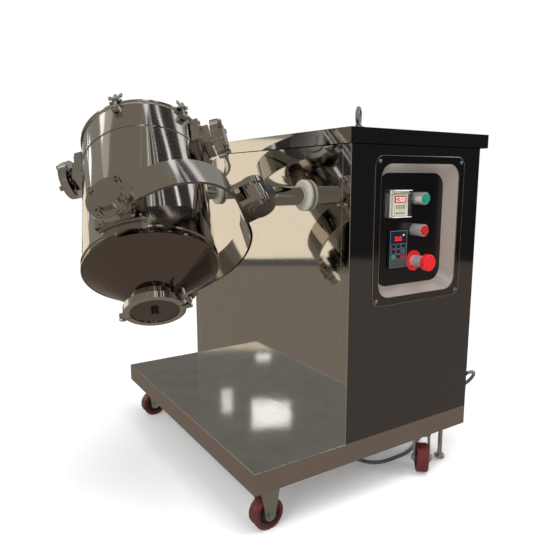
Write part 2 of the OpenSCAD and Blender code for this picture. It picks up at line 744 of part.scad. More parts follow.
module button_cap() {
    front = button_reach - bezel_front;
    rest = bezel_front - button_cap_l + button_travel + play;
    translate([0, 0, rest]) cylinder(d = button_d, h = button_reach - rest - overrun);
    translate([0, 0, rest]) cylinder(d = button_d - front/2, h = button_reach - rest);
    translate([0, 0, -button_back + button_travel + play])
        cylinder(d = button_stem_d, h = rest + button_back - button_travel);
}
module start_button() machine() color([0.05, 0.45, 0.33]) button_place(start_z) button_cap();
module stop_button() machine() color([0.75, 0.1, 0.1]) button_place(stop_z) button_cap();
module estop_collar() machine() color([0.8, 0.05, 0.08]) button_place(estop_z)
    ring(estop_collar_d/2, button_thread_d/2 + fit, estop_collar_t);
module estop_head() machine() color([0.85, 0.05, 0.08]) button_place(estop_z) {
    neck = estop_collar_t + estop_travel + play;
    translate([0, 0, estop_reach - estop_head_h]) rotate_extrude() {
        square([estop_d/2 - estop_head_h/4, estop_head_h]);
        square([estop_d/2, estop_head_h*0.75]);
        translate([estop_d/2 - estop_head_h/4, estop_head_h*0.75]) circle(estop_head_h/4);
    }
    translate([0, 0, neck]) cylinder(d = estop_stem_d, h = estop_reach - estop_head_h - neck + seat);
    translate([0, 0, -button_back + estop_travel + play])
        cylinder(d = button_stem_d, h = neck + button_back - estop_travel);
}
module contact_blocks() machine() color([0.15, 0.15, 0.16])
    for (z = [start_z, stop_z, estop_z]) button_place(z)
        translate([0, 0, -button_back]) mirror([0, 0, 1])
            rounded_plate(bezel_d, button_thread_d*2, overrun, button_thread_d*1.6);

// Bearing beam of two plates on end posts, with a shelf for the gearbox
coupling_d = 76;
coupling_l = 56;
beam_near = drive_y - bearing_side/2 - 2*beam_t;
beam_far = far_y + bearing_side/2 + 2*beam_t;
beam_back = beam_x + 2*beam_t + beam_gap;
gearbox_x = beam_back + bearing_depth + coupling_l;
module bearing_plate() machine() color([0.45, 0.47, 0.5]) {
    difference() {
        for (x = [beam_x, beam_back - beam_t])
            span_box([x, beam_near, shaft_z - beam_h/2],
                [x + beam_t, beam_far, shaft_z + beam_h/2]);
        for (y = [drive_y, far_y]) translate([beam_x - overrun, y, shaft_z]) rotate([0, 90, 0])
            cylinder(d = seal_hole_d, h = beam_back);
    }
    for (y = [beam_near, beam_far - beam_t])
        span_box([beam_x + beam_t, y, deck_z],
            [beam_back - beam_t, y + beam_t, shaft_z + beam_h/2]);
    span_box([beam_back, beam_near, shaft_z - gearbox_h/2 - beam_t],
        [gearbox_x + gearbox_w, drive_y + gearbox_side/2, shaft_z - gearbox_h/2]);
    for (y = [beam_near, drive_y + gearbox_side/2 - beam_t])
        translate([beam_back, y + beam_t, shaft_z - gearbox_h/2 - beam_t]) rotate([90, 0, 0])
            linear_extrude(beam_t) polygon([[0, 0], [gearbox_w, 0],
                [0, -(beam_h - gearbox_h)/2 + beam_t]]);
}
bearing_bolt_d = 12;
module flange_bearing() difference() {
    union() {
        rounded_plate(bearing_side, bearing_side, bearing_bolt_d, bearing_flange_t);
        cylinder(d = bearing_side*0.78, h = bearing_depth - beam_t/2);
        cylinder(d = bearing_side*0.62, h = bearing_depth);
        for (x = [-1, 1], y = [-1, 1]) translate([x*(bearing_side/2 - bearing_bolt_d),
            y*(bearing_side/2 - bearing_bolt_d), 0])
                cylinder(d = bearing_bolt_d*1.5, h = bearing_flange_t + bearing_bolt_d*0.6,
                    $fn = 6);
    }
    translate([0, 0, -overrun])
        cylinder(r = shaft_d/2 + fit, h = bearing_depth + 2*overrun);
}
module bearing_housings() machine() color([0.2, 0.35, 0.3])
    for (y = [drive_y, far_y], x = [beam_x + beam_t, beam_back])
        translate([x, y, shaft_z]) rotate([0, 90, 0]) flange_bearing();
module shaft_seals() machine() color([0.66, 0.64, 0.58])
    for (y = [drive_y, far_y]) translate([0, y, shaft_z]) rotate([0, -90, 0]) difference() {
        rotate_extrude() {
            square([seal_d/2 - seal_t/3, seal_t]);
            translate([0, seal_t/3]) square([seal_d/2, seal_t/3]);
            for (z = [seal_t/3, seal_t*2/3]) translate([seal_d/2 - seal_t/3, z])
                circle(seal_t/3);
        }
        translate([0, 0, -overrun]) cylinder(r = shaft_d/2 + fit, h = seal_t + 2*overrun);
    }

// Worm gearbox and motor
gearbox_drop = 44;
module worm_gearbox() machine() color([0.3, 0.42, 0.5]) difference() {
    translate([gearbox_x, drive_y, shaft_z]) rotate([90, 0, 90]) {
        rounded_plate(gearbox_side, gearbox_h, gearbox_side/6, gearbox_w);
        cylinder(d = gearbox_side, h = gearbox_w);
    }
    translate([gearbox_x - overrun, drive_y, shaft_z]) rotate([0, 90, 0])
        cylinder(r = output_d/2 + fit, h = gearbox_w*0.8 + overrun);
}
module drive_motor() machine() color([0.3, 0.42, 0.5])
    translate([gearbox_x + gearbox_w/2, drive_y + gearbox_side/2, shaft_z - gearbox_drop])
        into_panel() {
            cylinder(d = motor_d*0.9, h = motor_l);
            cylinder(d = motor_d, h = beam_t);
            for (i = [0 : 11]) rotate([0, 0, i*360/12]) translate([-play*3, 0, motor_l*0.1])
                cube([play*6, motor_d/2, motor_l*0.65]);
            translate([0, 0, motor_l*0.8]) cylinder(d = motor_d, h = motor_l*0.2);
            translate([-motor_d*0.3, -motor_d*0.62, motor_l*0.2])
                cube([motor_d*0.6, motor_d*0.3, motor_l*0.4]);
        }

// Shafts with their eyes, the coupling and the output shaft
neck_l = ear_w/2 + 2*air + 3;
module eye_shaft(run) difference() {
    union() {
        translate([0, 0, -eye_w/2]) cylinder(d = eye_d, h = eye_w);
        translate([-neck_l, -shaft_d/2, -eye_w/2]) cube([neck_l, shaft_d, eye_w]);
        translate([-run, 0, 0]) rotate([0, 90, 0]) cylinder(d = shaft_d, h = run - neck_l);
    }
    translate([0, 0, -eye_w/2 - overrun])
        cylinder(r = pin_d/2 + fit, h = eye_w + 2*overrun);
}
module drive_shaft() machine() color("silver") shaft_frame(drive_y, drive_angle)
    eye_shaft(pivot_out + shaft_in);
module driven_shaft() machine() color("silver") shaft_frame(far_y, driven_angle)
    eye_shaft(pivot_out + shaft_in);
module shaft_coupling() machine() color([0.55, 0.55, 0.58]) {
    shaft_end = shaft_in + play;
    face = beam_back + bearing_depth + play;
    stop_x = gearbox_x - play;
    translate([0, drive_y, shaft_z]) rotate([0, 90, 0]) {
        translate([0, 0, face]) difference() {
            cylinder(d = coupling_d, h = stop_x - face);
            translate([0, 0, -overrun]) cylinder(r = shaft_d/2 + fit, h = shaft_end - face + overrun);
            cylinder(r = output_d/2 + fit, h = stop_x - face + overrun);
        }
        translate([0, 0, shaft_end]) cylinder(d = output_d, h = gearbox_x + gearbox_w*0.8 - shaft_end - play);
    }
}

// Band yokes with their forks and hubs
bend_x = band_root + bend_r;
bend_y = band_span/2 - bend_r;
module band() {
    translate([band_root, -bend_y, -band_w/2]) cube([band_t, 2*bend_y, band_w]);
    both_sides() {
        translate([bend_x, bend_y, -band_w/2]) rotate([0, 0, 90]) rotate_extrude(angle = 90)
            translate([bend_r - band_t, 0]) square([band_t, band_w]);
        translate([bend_x, bend_y + bend_r - band_t, -band_w/2])
            cube([arm - bend_x, band_t, band_w]);
    }
}
module yoke(hub_bore) difference() {
    union() {
        band();
        for (s = [-1, 1]) {
            translate([0, 0, s > 0 ? eye_half : -ear_out]) {
                cylinder(r = ear_w/2, h = ear_t);
                translate([0, -ear_w/2, 0]) cube([band_root + band_t/2, ear_w, ear_t]);
            }
            translate([arm, s*hub_in, 0]) rotate([-s*90, 0, 0]) cylinder(d = hub_d, h = hub_t);
        }
    }
    translate([0, 0, -ear_out - overrun])
        cylinder(r = pin_d/2 + fit, h = 2*(ear_out + overrun));
    translate([arm, -hub_out - overrun, 0]) rotate([-90, 0, 0])
        cylinder(r = hub_bore, h = 2*(hub_out + overrun));
    for (s = [-1, 1], i = [0 : 3]) translate([arm, 0, 0]) rotate([-s*90, 0, 0])
        rotate([0, 0, 45 + i*90]) translate([hub_pcd/2, 0, hub_out - hub_screw_l - overrun])
            cylinder(r = hub_screw_d/2 + fit, h = hub_screw_l + 2*overrun);
}
hub_screw_d = 8;
hub_screw_l = 10;
hub_screw_head_d = 13;
cap_wall = 2.5;
module near_yoke() machine() color("silver") near_frame() yoke(trunnion_d/2 + fit);
module far_yoke() machine() color("silver") far_frame() yoke(open_hub_d/2);
module hub_cover() {
    difference() {
        union() {
            cylinder(d = hub_cover_d, h = cover_flange_t);
            cylinder(d = cap_d, h = cover_flange_t + cap_h - play*3);
            cylinder(d = cap_d - 3*play, h = cover_flange_t + cap_h);
        }
        translate([0, 0, -overrun])
            cylinder(d = open_hub_d, h = cover_flange_t + cap_h - cap_wall + overrun);
        for (i = [0 : 3]) rotate([0, 0, 45 + i*90]) translate([hub_pcd/2, 0, -overrun])
            cylinder(r = hub_screw_d/2 + fit, h = cover_flange_t + 2*overrun);
    }
    for (i = [0 : 3]) rotate([0, 0, 45 + i*90]) translate([hub_pcd/2, 0, 0]) {
        translate([0, 0, -hub_screw_l + play])
            cylinder(d = hub_screw_d, h = hub_screw_l + cover_flange_t);
        translate([0, 0, cover_flange_t]) difference() {
            cylinder(d = hub_screw_head_d, h = hub_screw_d);
            translate([0, 0, hub_screw_d/2])
                cylinder(d = hub_screw_d*0.85, h = hub_screw_d, $fn = 6);
        }
    }
}
module hub_covers() for (s = [-1, 1]) translate([arm, s*hub_out, 0]) rotate([-s*90, 0, 0])
    hub_cover();
module near_hub_covers() machine() color([0.6, 0.57, 0.54]) near_frame() hub_covers();
module far_hub_covers() machine() color([0.6, 0.57, 0.54]) far_frame() hub_covers();
ear_cap_d = 64;
ear_cap_t = 3.5;
ear_boss_d = 48;
ear_boss_h = 6;
ear_screw_d = 5;
module pivot_pin() {
    translate([0, 0, -ear_out]) cylinder(d = pin_d, h = 2*ear_out);
    for (s = [0, 1]) mirror([0, 0, s]) translate([0, 0, ear_out]) {
        cylinder(d = ear_cap_d, h = ear_cap_t);
        cylinder(d = ear_boss_d, h = ear_cap_t + ear_boss_h - overrun);
        cylinder(d = ear_boss_d - 2*overrun, h = ear_cap_t + ear_boss_h);
        for (i = [0 : 3]) rotate([0, 0, 45 + 90*i])
            translate([(ear_cap_d + ear_boss_d)/4, 0, 0])
                cylinder(d = ear_screw_d, h = ear_cap_t + ear_screw_d/2);
    }
}
module near_pivot_pin() machine() color("silver") near_frame() pivot_pin();
module far_pivot_pin() machine() color("silver") far_frame() pivot_pin();

// Drum: shell with mouth ring, bead and bottom ring, cone with neck and ferrule
bead_h = 3;
ring_h = 4;
mouth_ring_t = 7;
seam_z = -(ring_top + ring_bottom)/2;
cone_z = -ring_bottom - cone_h;
neck_z = cone_z - neck_h;
ferrule_z = neck_z - ferrule_t;
outlet_gasket_z = ferrule_z - outlet_gasket_t;
outlet_cap_z = outlet_gasket_z - ferrule_t;
lid_z = rim_z + lid_gasket_t;
swing_angles = [90, 90 + swing_pair, 270, 270 + swing_pair];
swing_eye_d = 2*swing_d;
swing_pin_d = 6;
swing_pin_z = rim_z - swing_eye_d;
swing_r = drum_r + swing_eye_d/2 + 2*play;
lug_t = 4;
module barrel_shell() machine() color("silver") drum_frame() {
    difference() {
        union() {
            translate([0, 0, seam_z]) cylinder(r = drum_r, h = rim_z - seam_z);
            translate([0, 0, bead_z]) cylinder(r = drum_r + bead_out, h = bead_h);
            translate([0, 0, -ring_top - ring_h]) cylinder(r = ring_r, h = ring_h);
            for (a = swing_angles) rotate([0, 0, a]) swing_lugs();
        }
        translate([0, 0, seam_z - overrun])
            cylinder(r = drum_r - drum_t, h = rim_z - mouth_ring_t - seam_z + overrun);
        translate([0, 0, rim_z - mouth_ring_t - overrun])
            cylinder(d = mouth_d, h = mouth_ring_t + 2*overrun);
    }
}
module swing_lugs() {
    for (s = [-1, 1]) translate([0, s*(swing_d/2 + play + lug_t/2), 0]) {
        translate([drum_r - drum_t/2, -lug_t/2, swing_pin_z - swing_eye_d/2])
            cube([swing_r - drum_r + drum_t/2, lug_t, swing_eye_d]);
        translate([swing_r, lug_t/2, swing_pin_z]) rotate([90, 0, 0])
            cylinder(d = swing_eye_d, h = lug_t);
    }
    translate([swing_r, swing_d/2 + play + lug_t, swing_pin_z]) rotate([90, 0, 0])
        cylinder(d = swing_pin_d, h = swing_d + 2*play + 2*lug_t);
}
module discharge_cone() machine() color([0.6, 0.58, 0.55]) drum_frame() difference() {
    union() {
        translate([0, 0, -ring_bottom]) cylinder(r = drum_r, h = seam_z + ring_bottom);
        translate([0, 0, -ring_bottom]) cylinder(r = ring_r, h = ring_h);
        translate([0, 0, cone_z]) cylinder(r1 = neck_d/2, r2 = drum_r, h = cone_h);
        translate([0, 0, neck_z]) cylinder(d = neck_d, h = neck_h);
        translate([0, 0, ferrule_z]) cylinder(d = ferrule_d, h = ferrule_t);
    }
    translate([0, 0, -ring_bottom])
        cylinder(r = drum_r - drum_t, h = seam_z + ring_bottom + overrun);
    translate([0, 0, cone_z])
        cylinder(r1 = neck_d/2 - drum_t, r2 = drum_r - drum_t, h = cone_h);
    translate([0, 0, ferrule_z - overrun])
        cylinder(d = neck_d - 2*drum_t, h = neck_h + ferrule_t + 2*overrun);
}

// Trunnions: saddle pads with screwed corners, blocks and pins
pad_skirt = 20;
pad_screw_d = 8;
block_step = 4;
module trunnion() {
    difference() {
        union() {
            translate([drum_r + pad_t - pad_skirt, -pad_w/2, -pad_h/2])
                cube([pad_skirt, pad_w, pad_h]);
            for (y = [-1, 1], z = [-1, 1]) translate([drum_r + pad_t,
                y*(pad_w/2 - pad_screw_d), z*(pad_h/2 - pad_screw_d)]) rotate([0, 90, 0])
                    cylinder(d = pad_screw_d, h = pad_screw_d/2);
        }
        translate([0, 0, -pad_h]) cylinder(r = drum_r + seat, h = 2*pad_h);
    }
    translate([drum_r + pad_t, -block_w/2 - block_step, -block_w/2 + block_step])
        cube([block_step, block_w + 2*block_step, block_w - 2*block_step]);
    translate([drum_r + pad_t, -block_w/2, -block_w/2 + block_step/2])
        cube([block_face - drum_r - pad_t, block_w, block_w - block_step]);
    translate([block_face - overrun, 0, 0]) rotate([0, 90, 0])
        cylinder(d = trunnion_d, h = hub_out - hub_proud - overrun);
}
module trunnions() machine() color("silver") drum_frame() {
    for (turn = [90, 270]) rotate([0, 0, turn]) trunnion_pin();
    translate([0, 0, arm]) difference() {
        for (turn = [0, 180]) rotate([0, 0, turn]) trunnion_pin();
        translate([0, 0, bead_z - arm - seat])
            cylinder(r = drum_r + bead_out + seat, h = bead_h + 2*seat);
    }
}
module trunnion_pin() intersection() {
    trunnion();
    translate([0, -pad_w, -pad_h]) cube([hub_out - hub_proud, 2*pad_w, 2*pad_h]);
}

// Lid with a rounded crown and four notched tabs for the swing bolts
crown_round = 15;
tab_in = 12;
tab_w = 30;
module crown() {
    top_r = crown_d/2 - crown_round;
    ring(crown_d/2, crown_d/2 - drum_t, crown_h - crown_round);
    translate([0, 0, crown_h - crown_round]) rotate_extrude() translate([top_r, 0])
        intersection() {
            difference() {
                circle(crown_round);
                circle(crown_round - drum_t);
            }
            square(crown_round);
        }
    translate([0, 0, crown_h - drum_t]) cylinder(r = top_r, h = drum_t);
}
module barrel_lid() machine() color("silver") drum_frame() difference() {
    translate([0, 0, lid_z]) {
        crown();
        ring(lid_d/2, (crown_d - drum_t)/2, lid_t);
        for (a = swing_angles) rotate([0, 0, a]) translate([swing_r - tab_in, -tab_w/2, 0])
            cube([tab_in + overrun, tab_w, lid_t]);
    }
    for (a = swing_angles) rotate([0, 0, a]) translate([swing_r, 0, lid_z - overrun]) {
        cylinder(r = swing_d/2 + play, h = lid_t + 2*overrun);
        translate([0, -swing_d/2 - play, 0])
            cube([tab_in, swing_d + 2*play, lid_t + 2*overrun]);
    }
}
module gaskets() machine() color([0.85, 0.84, 0.8]) drum_frame() {
    translate([0, 0, rim_z]) ring(drum_r - drum_t, mouth_d/2, lid_gasket_t);
    translate([0, 0, outlet_gasket_z]) ring(ferrule_d/2, neck_d/2 - drum_t, outlet_gasket_t);
}

// Swing bolts with wing nuts
wing_l = 17;
wing_h = 15;
wing_t = 3;
nut_h = 10;
module wing_bolt(d, eye_d, eye_w, pin, reach) {
    difference() {
        union() {
            translate([0, eye_w/2, 0]) rotate([90, 0, 0]) cylinder(d = eye_d, h = eye_w);
            cylinder(d = d, h = reach + nut_h + d);
        }
        translate([0, eye_w, 0]) rotate([90, 0, 0]) cylinder(r = pin/2 + fit, h = 2*eye_w);
    }
    translate([0, 0, reach]) difference() {
        union() {
            cylinder(d1 = 2*d, d2 = 1.6*d, h = nut_h);
            for (s = [0, 1]) mirror([0, s, 0]) translate([-wing_t/2, 0, 0]) rotate([90, 0, 90])
                linear_extrude(wing_t) polygon([[d/2 + fit, nut_h/4], [wing_l, nut_h*0.9],
                    [wing_l, nut_h + wing_h/2], [wing_l*0.7, nut_h + wing_h/2],
                    [d/2 + fit, nut_h]]);
        }
        translate([0, 0, -overrun]) cylinder(r = d/2 + fit, h = nut_h + 2*overrun);
    }
}
module lid_bolt(i) machine() color("silver") drum_frame() rotate([0, 0, swing_angles[i]])
    translate([swing_r, 0, swing_pin_z])
        wing_bolt(swing_d, swing_eye_d, swing_d, swing_pin_d, lid_z + lid_t + seat - swing_pin_z);
module lid_bolt_1() lid_bolt(0);
module lid_bolt_2() lid_bolt(1);
module lid_bolt_3() lid_bolt(2);
module lid_bolt_4() lid_bolt(3);

// Outlet clamp of two half rings, its bolt, and the outlet cap
clamp_lip = 2;
clamp_low = outlet_cap_z - clamp_lip - seat;
clamp_high = neck_z + clamp_lip + seat;
clamp_in = ferrule_d/2 + seat;
clamp_ear_x = clamp_d/2 + 8;
clamp_ear_t = 10;
clamp_gap = 2;
clamp_bolt_d = 6;
clamp_eye_d = 12;
clamp_pin_d = 4;
clamp_pin_y = -clamp_gap - clamp_eye_d/2 - play;
clamp_mid_z = (clamp_low + clamp_high)/2;
module clamp_half() {
    difference() {
        union() {
            translate([0, 0, clamp_low]) cylinder(d = clamp_d, h = clamp_high - clamp_low);
            translate([clamp_in, clamp_gap, clamp_mid_z - clamp_ear_t/2])
                cube([clamp_ear_x - clamp_in + clamp_gap, clamp_ear_t*0.8, clamp_ear_t]);
        }
        translate([0, 0, clamp_low + clamp_lip]) cylinder(r = clamp_in,
            h = clamp_high - clamp_low - 2*clamp_lip);
        translate([0, 0, clamp_low - overrun]) cylinder(r = neck_d/2 + clamp_lip,
            h = clamp_high - clamp_low + 2*overrun);
        translate([-clamp_d, clamp_gap/2 - clamp_d*2, clamp_low - overrun])
            cube([2*clamp_d, 2*clamp_d, clamp_high - clamp_low + 2*overrun]);
    }
}
module outlet_clamp() machine() color("silver") drum_frame() {
    difference() {
        union() {
            clamp_half();
            translate([-clamp_ear_x, clamp_gap, clamp_mid_z - clamp_ear_t/2])
                cube([clamp_ear_x - clamp_in, clamp_ear_t, clamp_ear_t]);
        }
        translate([-clamp_ear_x, 0, clamp_mid_z]) rotate([-90, 0, 0])
            cylinder(r = clamp_bolt_d/2 + play, h = 2*clamp_ear_t);
        translate([-clamp_ear_x - clamp_ear_t, 0, clamp_mid_z - clamp_bolt_d/2 - play])
            cube([clamp_ear_t, 2*clamp_ear_t, clamp_bolt_d + 2*play]);
    }
    mirror([0, 1, 0]) difference() {
        union() {
            clamp_half();
            translate([-clamp_ear_x - clamp_eye_d/2, clamp_gap, clamp_mid_z - clamp_ear_t])
                cube([clamp_ear_x + clamp_eye_d/2 - clamp_in, clamp_eye_d + play, 2*clamp_ear_t]);
        }
        translate([-clamp_ear_x - clamp_eye_d, 0, clamp_mid_z - clamp_bolt_d/2 - play])
            cube([1.5*clamp_eye_d + 2*play, 3*clamp_eye_d, clamp_bolt_d + 2*play]);
    }
    translate([-clamp_ear_x, clamp_pin_y, clamp_mid_z - clamp_ear_t])
        cylinder(d = clamp_pin_d, h = 2*clamp_ear_t);
    translate([clamp_ear_x - clamp_gap, 0, clamp_mid_z - clamp_ear_t/2 - clamp_gap]) ring(
        clamp_ear_t*0.8, clamp_ear_t*0.6, clamp_gap);
}
module outlet_clamp_bolt() machine() color("silver") drum_frame()
    translate([-clamp_ear_x, clamp_pin_y, clamp_mid_z]) rotate([-90, 0, 0])
        wing_bolt(clamp_bolt_d, clamp_eye_d, clamp_bolt_d, clamp_pin_d,
            clamp_gap + clamp_ear_t + seat - clamp_pin_y);
module outlet_cap() machine() color([0.3, 0.28, 0.28]) drum_frame() {
    boss_d = 16;
    boss_h = 10;
    translate([0, 0, outlet_cap_z]) cylinder(d = ferrule_d, h = ferrule_t);
    translate([0, 0, outlet_cap_z - boss_h]) cylinder(d = boss_d, h = boss_h + seat);
}

// Casters: plates, forks, swivel races and wheels with tyres
axle_head_d = 16;
axle_head_h = 5;
race_d = 52;
race_h = 8;
kingpin_d = 12;
fork_boss_r = 13;
fork_half = wheel_hub_w/2 + play;
module caster_plate() {
    translate([0, 0, caster_h - plate_t]) rounded_plate(plate_l, plate_w, plate_t*2, plate_t);
    for (x = [-1, 1], y = [-1, 1]) translate([x*(plate_l/2 - axle_d), y*(plate_w/2 - axle_d),
        caster_h - plate_t - axle_d/2]) cylinder(d = axle_d, h = axle_d/2, $fn = 6);
}
module fork_legs(shift, top, half_top) {
    for (s = [-1, 1]) difference() {
        translate([0, s*(fork_half + plate_t/2) + plate_t/2, 0]) rotate([90, 0, 0])
            linear_extrude(plate_t) {
                polygon([[-half_top, top], [half_top, top], [shift + fork_boss_r, axle_z],
                    [shift - fork_boss_r, axle_z]]);
                translate([shift, axle_z]) circle(fork_boss_r);
            }
        translate([shift, s*fork_half - plate_t*2, axle_z]) rotate([-90, 0, 0])
            cylinder(r = axle_d/2 + fit, h = 4*plate_t);
    }
    translate([shift, 0, axle_z]) rotate([90, 0, 0]) {
        translate([0, 0, -fork_half - plate_t]) cylinder(d = axle_d, h = 2*(fork_half + plate_t));
        for (s = [0, 1]) mirror([0, 0, s]) translate([0, 0, fork_half + plate_t])
            cylinder(d = axle_head_d, h = axle_head_h, $fn = 6);
    }
}
module fork_bridge(top, half_top) translate([-half_top, -fork_half - plate_t, top - plate_t])
    cube([2*half_top, 2*(fork_half + plate_t), plate_t]);
module fixed_casters() machine() color([0.6, 0.6, 0.62])
    for (y = caster_rows) translate([front_caster_x, y, 0]) {
        caster_plate();
        fork_legs(0, caster_h - plate_t, plate_l*0.3);
        fork_bridge(caster_h - plate_t, plate_l*0.3);
    }
module swivel_tops() machine() color([0.6, 0.6, 0.62])
    for (y = caster_rows) translate([rear_caster_x, y, 0]) {
        caster_plate();
        translate([0, 0, caster_h - plate_t - race_h])
            ring(race_d/2, kingpin_d/2 + fit, race_h);
    }
module swivel_fork(y, turn) machine() color([0.6, 0.6, 0.62])
    translate([rear_caster_x, y, 0]) rotate([0, 0, turn]) {
        top = caster_h - plate_t - race_h - air;
        fork_legs(trail, top, race_d*0.45);
        fork_bridge(top, race_d*0.45);
        translate([0, 0, top - plate_t]) cylinder(d = race_d, h = plate_t);
        translate([0, 0, top - plate_t])
            cylinder(d = kingpin_d, h = plate_t + race_h);
    }
module swivel_fork_1() swivel_fork(caster_rows[0], near_swivel_turn);
module swivel_fork_2() swivel_fork(caster_rows[1], far_swivel_turn);
module wheel() rotate([90, 0, 0]) {
    rim_r = wheel_d*0.39;
    chamfer = 2;
    tyre_r = rim_r + seat;
    rotate_extrude() {
        translate([axle_d/2 + fit, -wheel_hub_w/2]) square([axle_d, wheel_hub_w]);
        translate([axle_d, -wheel_w/6]) square([rim_r - axle_d, wheel_w/3]);
        translate([rim_r*0.8, -wheel_w/2 + chamfer]) square([rim_r*0.2, wheel_w - 2*chamfer]);
    }
    rotate_extrude() polygon([[tyre_r, -wheel_w/2], [wheel_d/2 - chamfer, -wheel_w/2],
        [wheel_d/2, -wheel_w/2 + chamfer], [wheel_d/2, wheel_w/2 - chamfer],
        [wheel_d/2 - chamfer, wheel_w/2], [tyre_r, wheel_w/2]]);
}
module fixed_wheel(y) machine() color([0.45, 0.08, 0.1])
    translate([front_caster_x, y, axle_z]) wheel();
module swivel_wheel(y, turn) machine() color([0.45, 0.08, 0.1])
    translate([rear_caster_x, y, axle_z]) rotate([0, 0, turn]) translate([trail, 0, 0]) wheel();
module caster_wheel_1() fixed_wheel(caster_rows[0]);
module caster_wheel_2() fixed_wheel(caster_rows[1]);
module caster_wheel_3() swivel_wheel(caster_rows[0], near_swivel_turn);
module caster_wheel_4() swivel_wheel(caster_rows[1], far_swivel_turn);

// Levelling feet: pads on screws with lock nuts
foot_rod_top = 32;
lock_nut_w = 19;
lock_nut_h = 8;
lock_nut_drop = 22;
module levelling_foot(y) machine() color("silver") translate([foot_x, y, 0]) {
    translate([0, 0, foot_lift]) cylinder(d = foot_pad_d, h = foot_pad_h/2);
    translate([0, 0, foot_lift + foot_pad_h/2])
        cylinder(d1 = foot_pad_d, d2 = foot_rod_d*1.5, h = foot_pad_h/2);
    translate([0, 0, foot_lift + foot_pad_h/2])
        cylinder(d = foot_rod_d, h = caster_h + foot_rod_top - foot_lift - foot_pad_h/2);
    translate([0, 0, caster_h - lock_nut_drop])
        cylinder(d = lock_nut_w, h = lock_nut_h, $fn = 6);
}
module levelling_foot_1() levelling_foot(caster_rows[0]);
module levelling_foot_2() levelling_foot(caster_rows[1]);

// Cable gland with its tapered strain relief
gland_thread_d = 20;
gland_nut_w = 24;
gland_nut_h = 8;
gland_l = 12;
gland_back = sheet_t + angle_t;
relief_l = 26;
relief_d = 18;
relief_tip_d = lead_d + 3;
module cable_gland() machine() color([0.1, 0.1, 0.1])
    translate([cabinet_w, gland_side, gland_z]) rotate([0, 90, 0]) {
        translate([0, 0, -gland_back - gland_nut_h]) {
            translate([0, 0, -overrun])
                cylinder(d = gland_thread_d, h = gland_back + gland_nut_h + overrun);
            cylinder(d = gland_nut_w, h = gland_nut_h, $fn = 6);
        }
        cylinder(d = gland_nut_w, h = gland_nut_h, $fn = 6);
        translate([0, 0, gland_nut_h]) cylinder(d = relief_d + 2*play, h = gland_l - gland_nut_h);
        translate([0, 0, gland_l]) cylinder(d1 = relief_d, d2 = relief_tip_d, h = relief_l);
    }

// Power lead: route by hand from the strain relief to the floor, under the base and to the coil
LEAD_ROUTE = [[459, 30, 236], [471, 30, 236], [487, 32, 234], [501, 37, 227], [512, 45, 216],
    [517, 54, 204], [516, 64, 190], [507, 87, 165], [498, 112, 144], [490, 136, 124],
    [482, 156, 102], [475, 170, 77], [469, 173, 46], [463, 171, 30], [453, 166, 17], [440, 160, 8],
    [424, 153, 5], [402, 143, 5], [381, 131, 5], [361, 120, 5], [341, 111, 5], [320, 105, 5],
    [298, 102, 5], [272, 101, 5], [246, 101, 5], [222, 103, 5], [203, 110, 5], [188, 122, 5],
    [178, 138, 5], [173, 156, 5], [172, 175, 5], [178, 198, 5], [192, 219, 5], [212, 236, 5],
    [240, 253, 5], [272, 267, 5], [306, 278, 5], [342, 286, 5], [378, 292, 5], [414, 296, 5],
    [450, 298, 5], [486, 299, 5], [502, 299, 5], [512, 299, 5]];
lead_sides = 8;
function pick(route, i) = route[max(0, min(len(route) - 1, i))];
function unit(v) = v/norm(v);
function heading(path, i) = unit(pick(path, i + 1) - pick(path, i - 1));
function across(dir) = unit(cross(dir, [dir.y, dir.z, dir.x] + [0, 0, 1/2]));
function side_axes(path) = [for (i = 0, dir = heading(path, 0), axis = across(dir);
    i < len(path); i = i + 1, dir = heading(path, min(i, len(path) - 1)),
    axis = unit(axis - dir*(axis*dir))) axis];
function tube_points(path, axes, sides, r) = [for (i = [0 : len(path) - 1], k = [0 : sides - 1])
    path[i] + r*(cos(360*k/sides)*axes[i] + sin(360*k/sides)*cross(heading(path, i), axes[i]))];
function tube_faces(rings, sides) = concat([[for (k = [0 : sides - 1]) k]],
    [for (i = [0 : rings - 2], k = [0 : sides - 1]) let (n = (k + 1)%sides)
        [i*sides + k, (i + 1)*sides + k, (i + 1)*sides + n]],
    [for (i = [0 : rings - 2], k = [0 : sides - 1]) let (n = (k + 1)%sides)
        [i*sides + k, (i + 1)*sides + n, i*sides + n]],
    [[for (k = [sides - 1 : -1 : 0]) (rings - 1)*sides + k]]);
module tube(path, sides, r) polyhedron(tube_points(path, side_axes(path), sides, r),
    tube_faces(len(path), sides), convexity = 10);
module power_cord() machine() color([0.2, 0.2, 0.2]) tube(LEAD_ROUTE, lead_sides, lead_d/2);

// Stored coil: two layers, spiralling in below and out again above
coil_gap = 0.8;
coil_step = lead_d + coil_gap;
coil_rings = 24;
coil_sides = 6;
coil_layer_turns = coil_turns/2;
coil_out_r = coil_d/2 + coil_step*coil_layer_turns/2;
coil_end = coil_turns + 1/2;
coil_start = LEAD_ROUTE[len(LEAD_ROUTE) - 1];
coil_mid = coil_start + [lead_d, coil_out_r, 0];
function climb(t) = max(0, min(1, 2*(t - coil_layer_turns)));
function coil_point(t) = let (r = coil_out_r - coil_step*min(t, coil_end - t), a = 360*t - 90)
    coil_mid + [r*cos(a), r*sin(a), coil_step*climb(t)];
coil_points = [for (i = [0 : coil_end*coil_rings]) coil_point(i/coil_rings)];
coil_tail = coil_points[len(coil_points) - 1] - [coil_out_r + lead_d, 0, 0];
coil_path = concat([coil_start], coil_points, [coil_tail]);
coil_least_gap = min([for (i = [0 : len(coil_points) - 1], j = [i + coil_rings/2 : 1 :
    len(coil_points) - 1]) norm(coil_points[i] - coil_points[j])]) - lead_d;
echo(coil_least_gap = coil_least_gap);
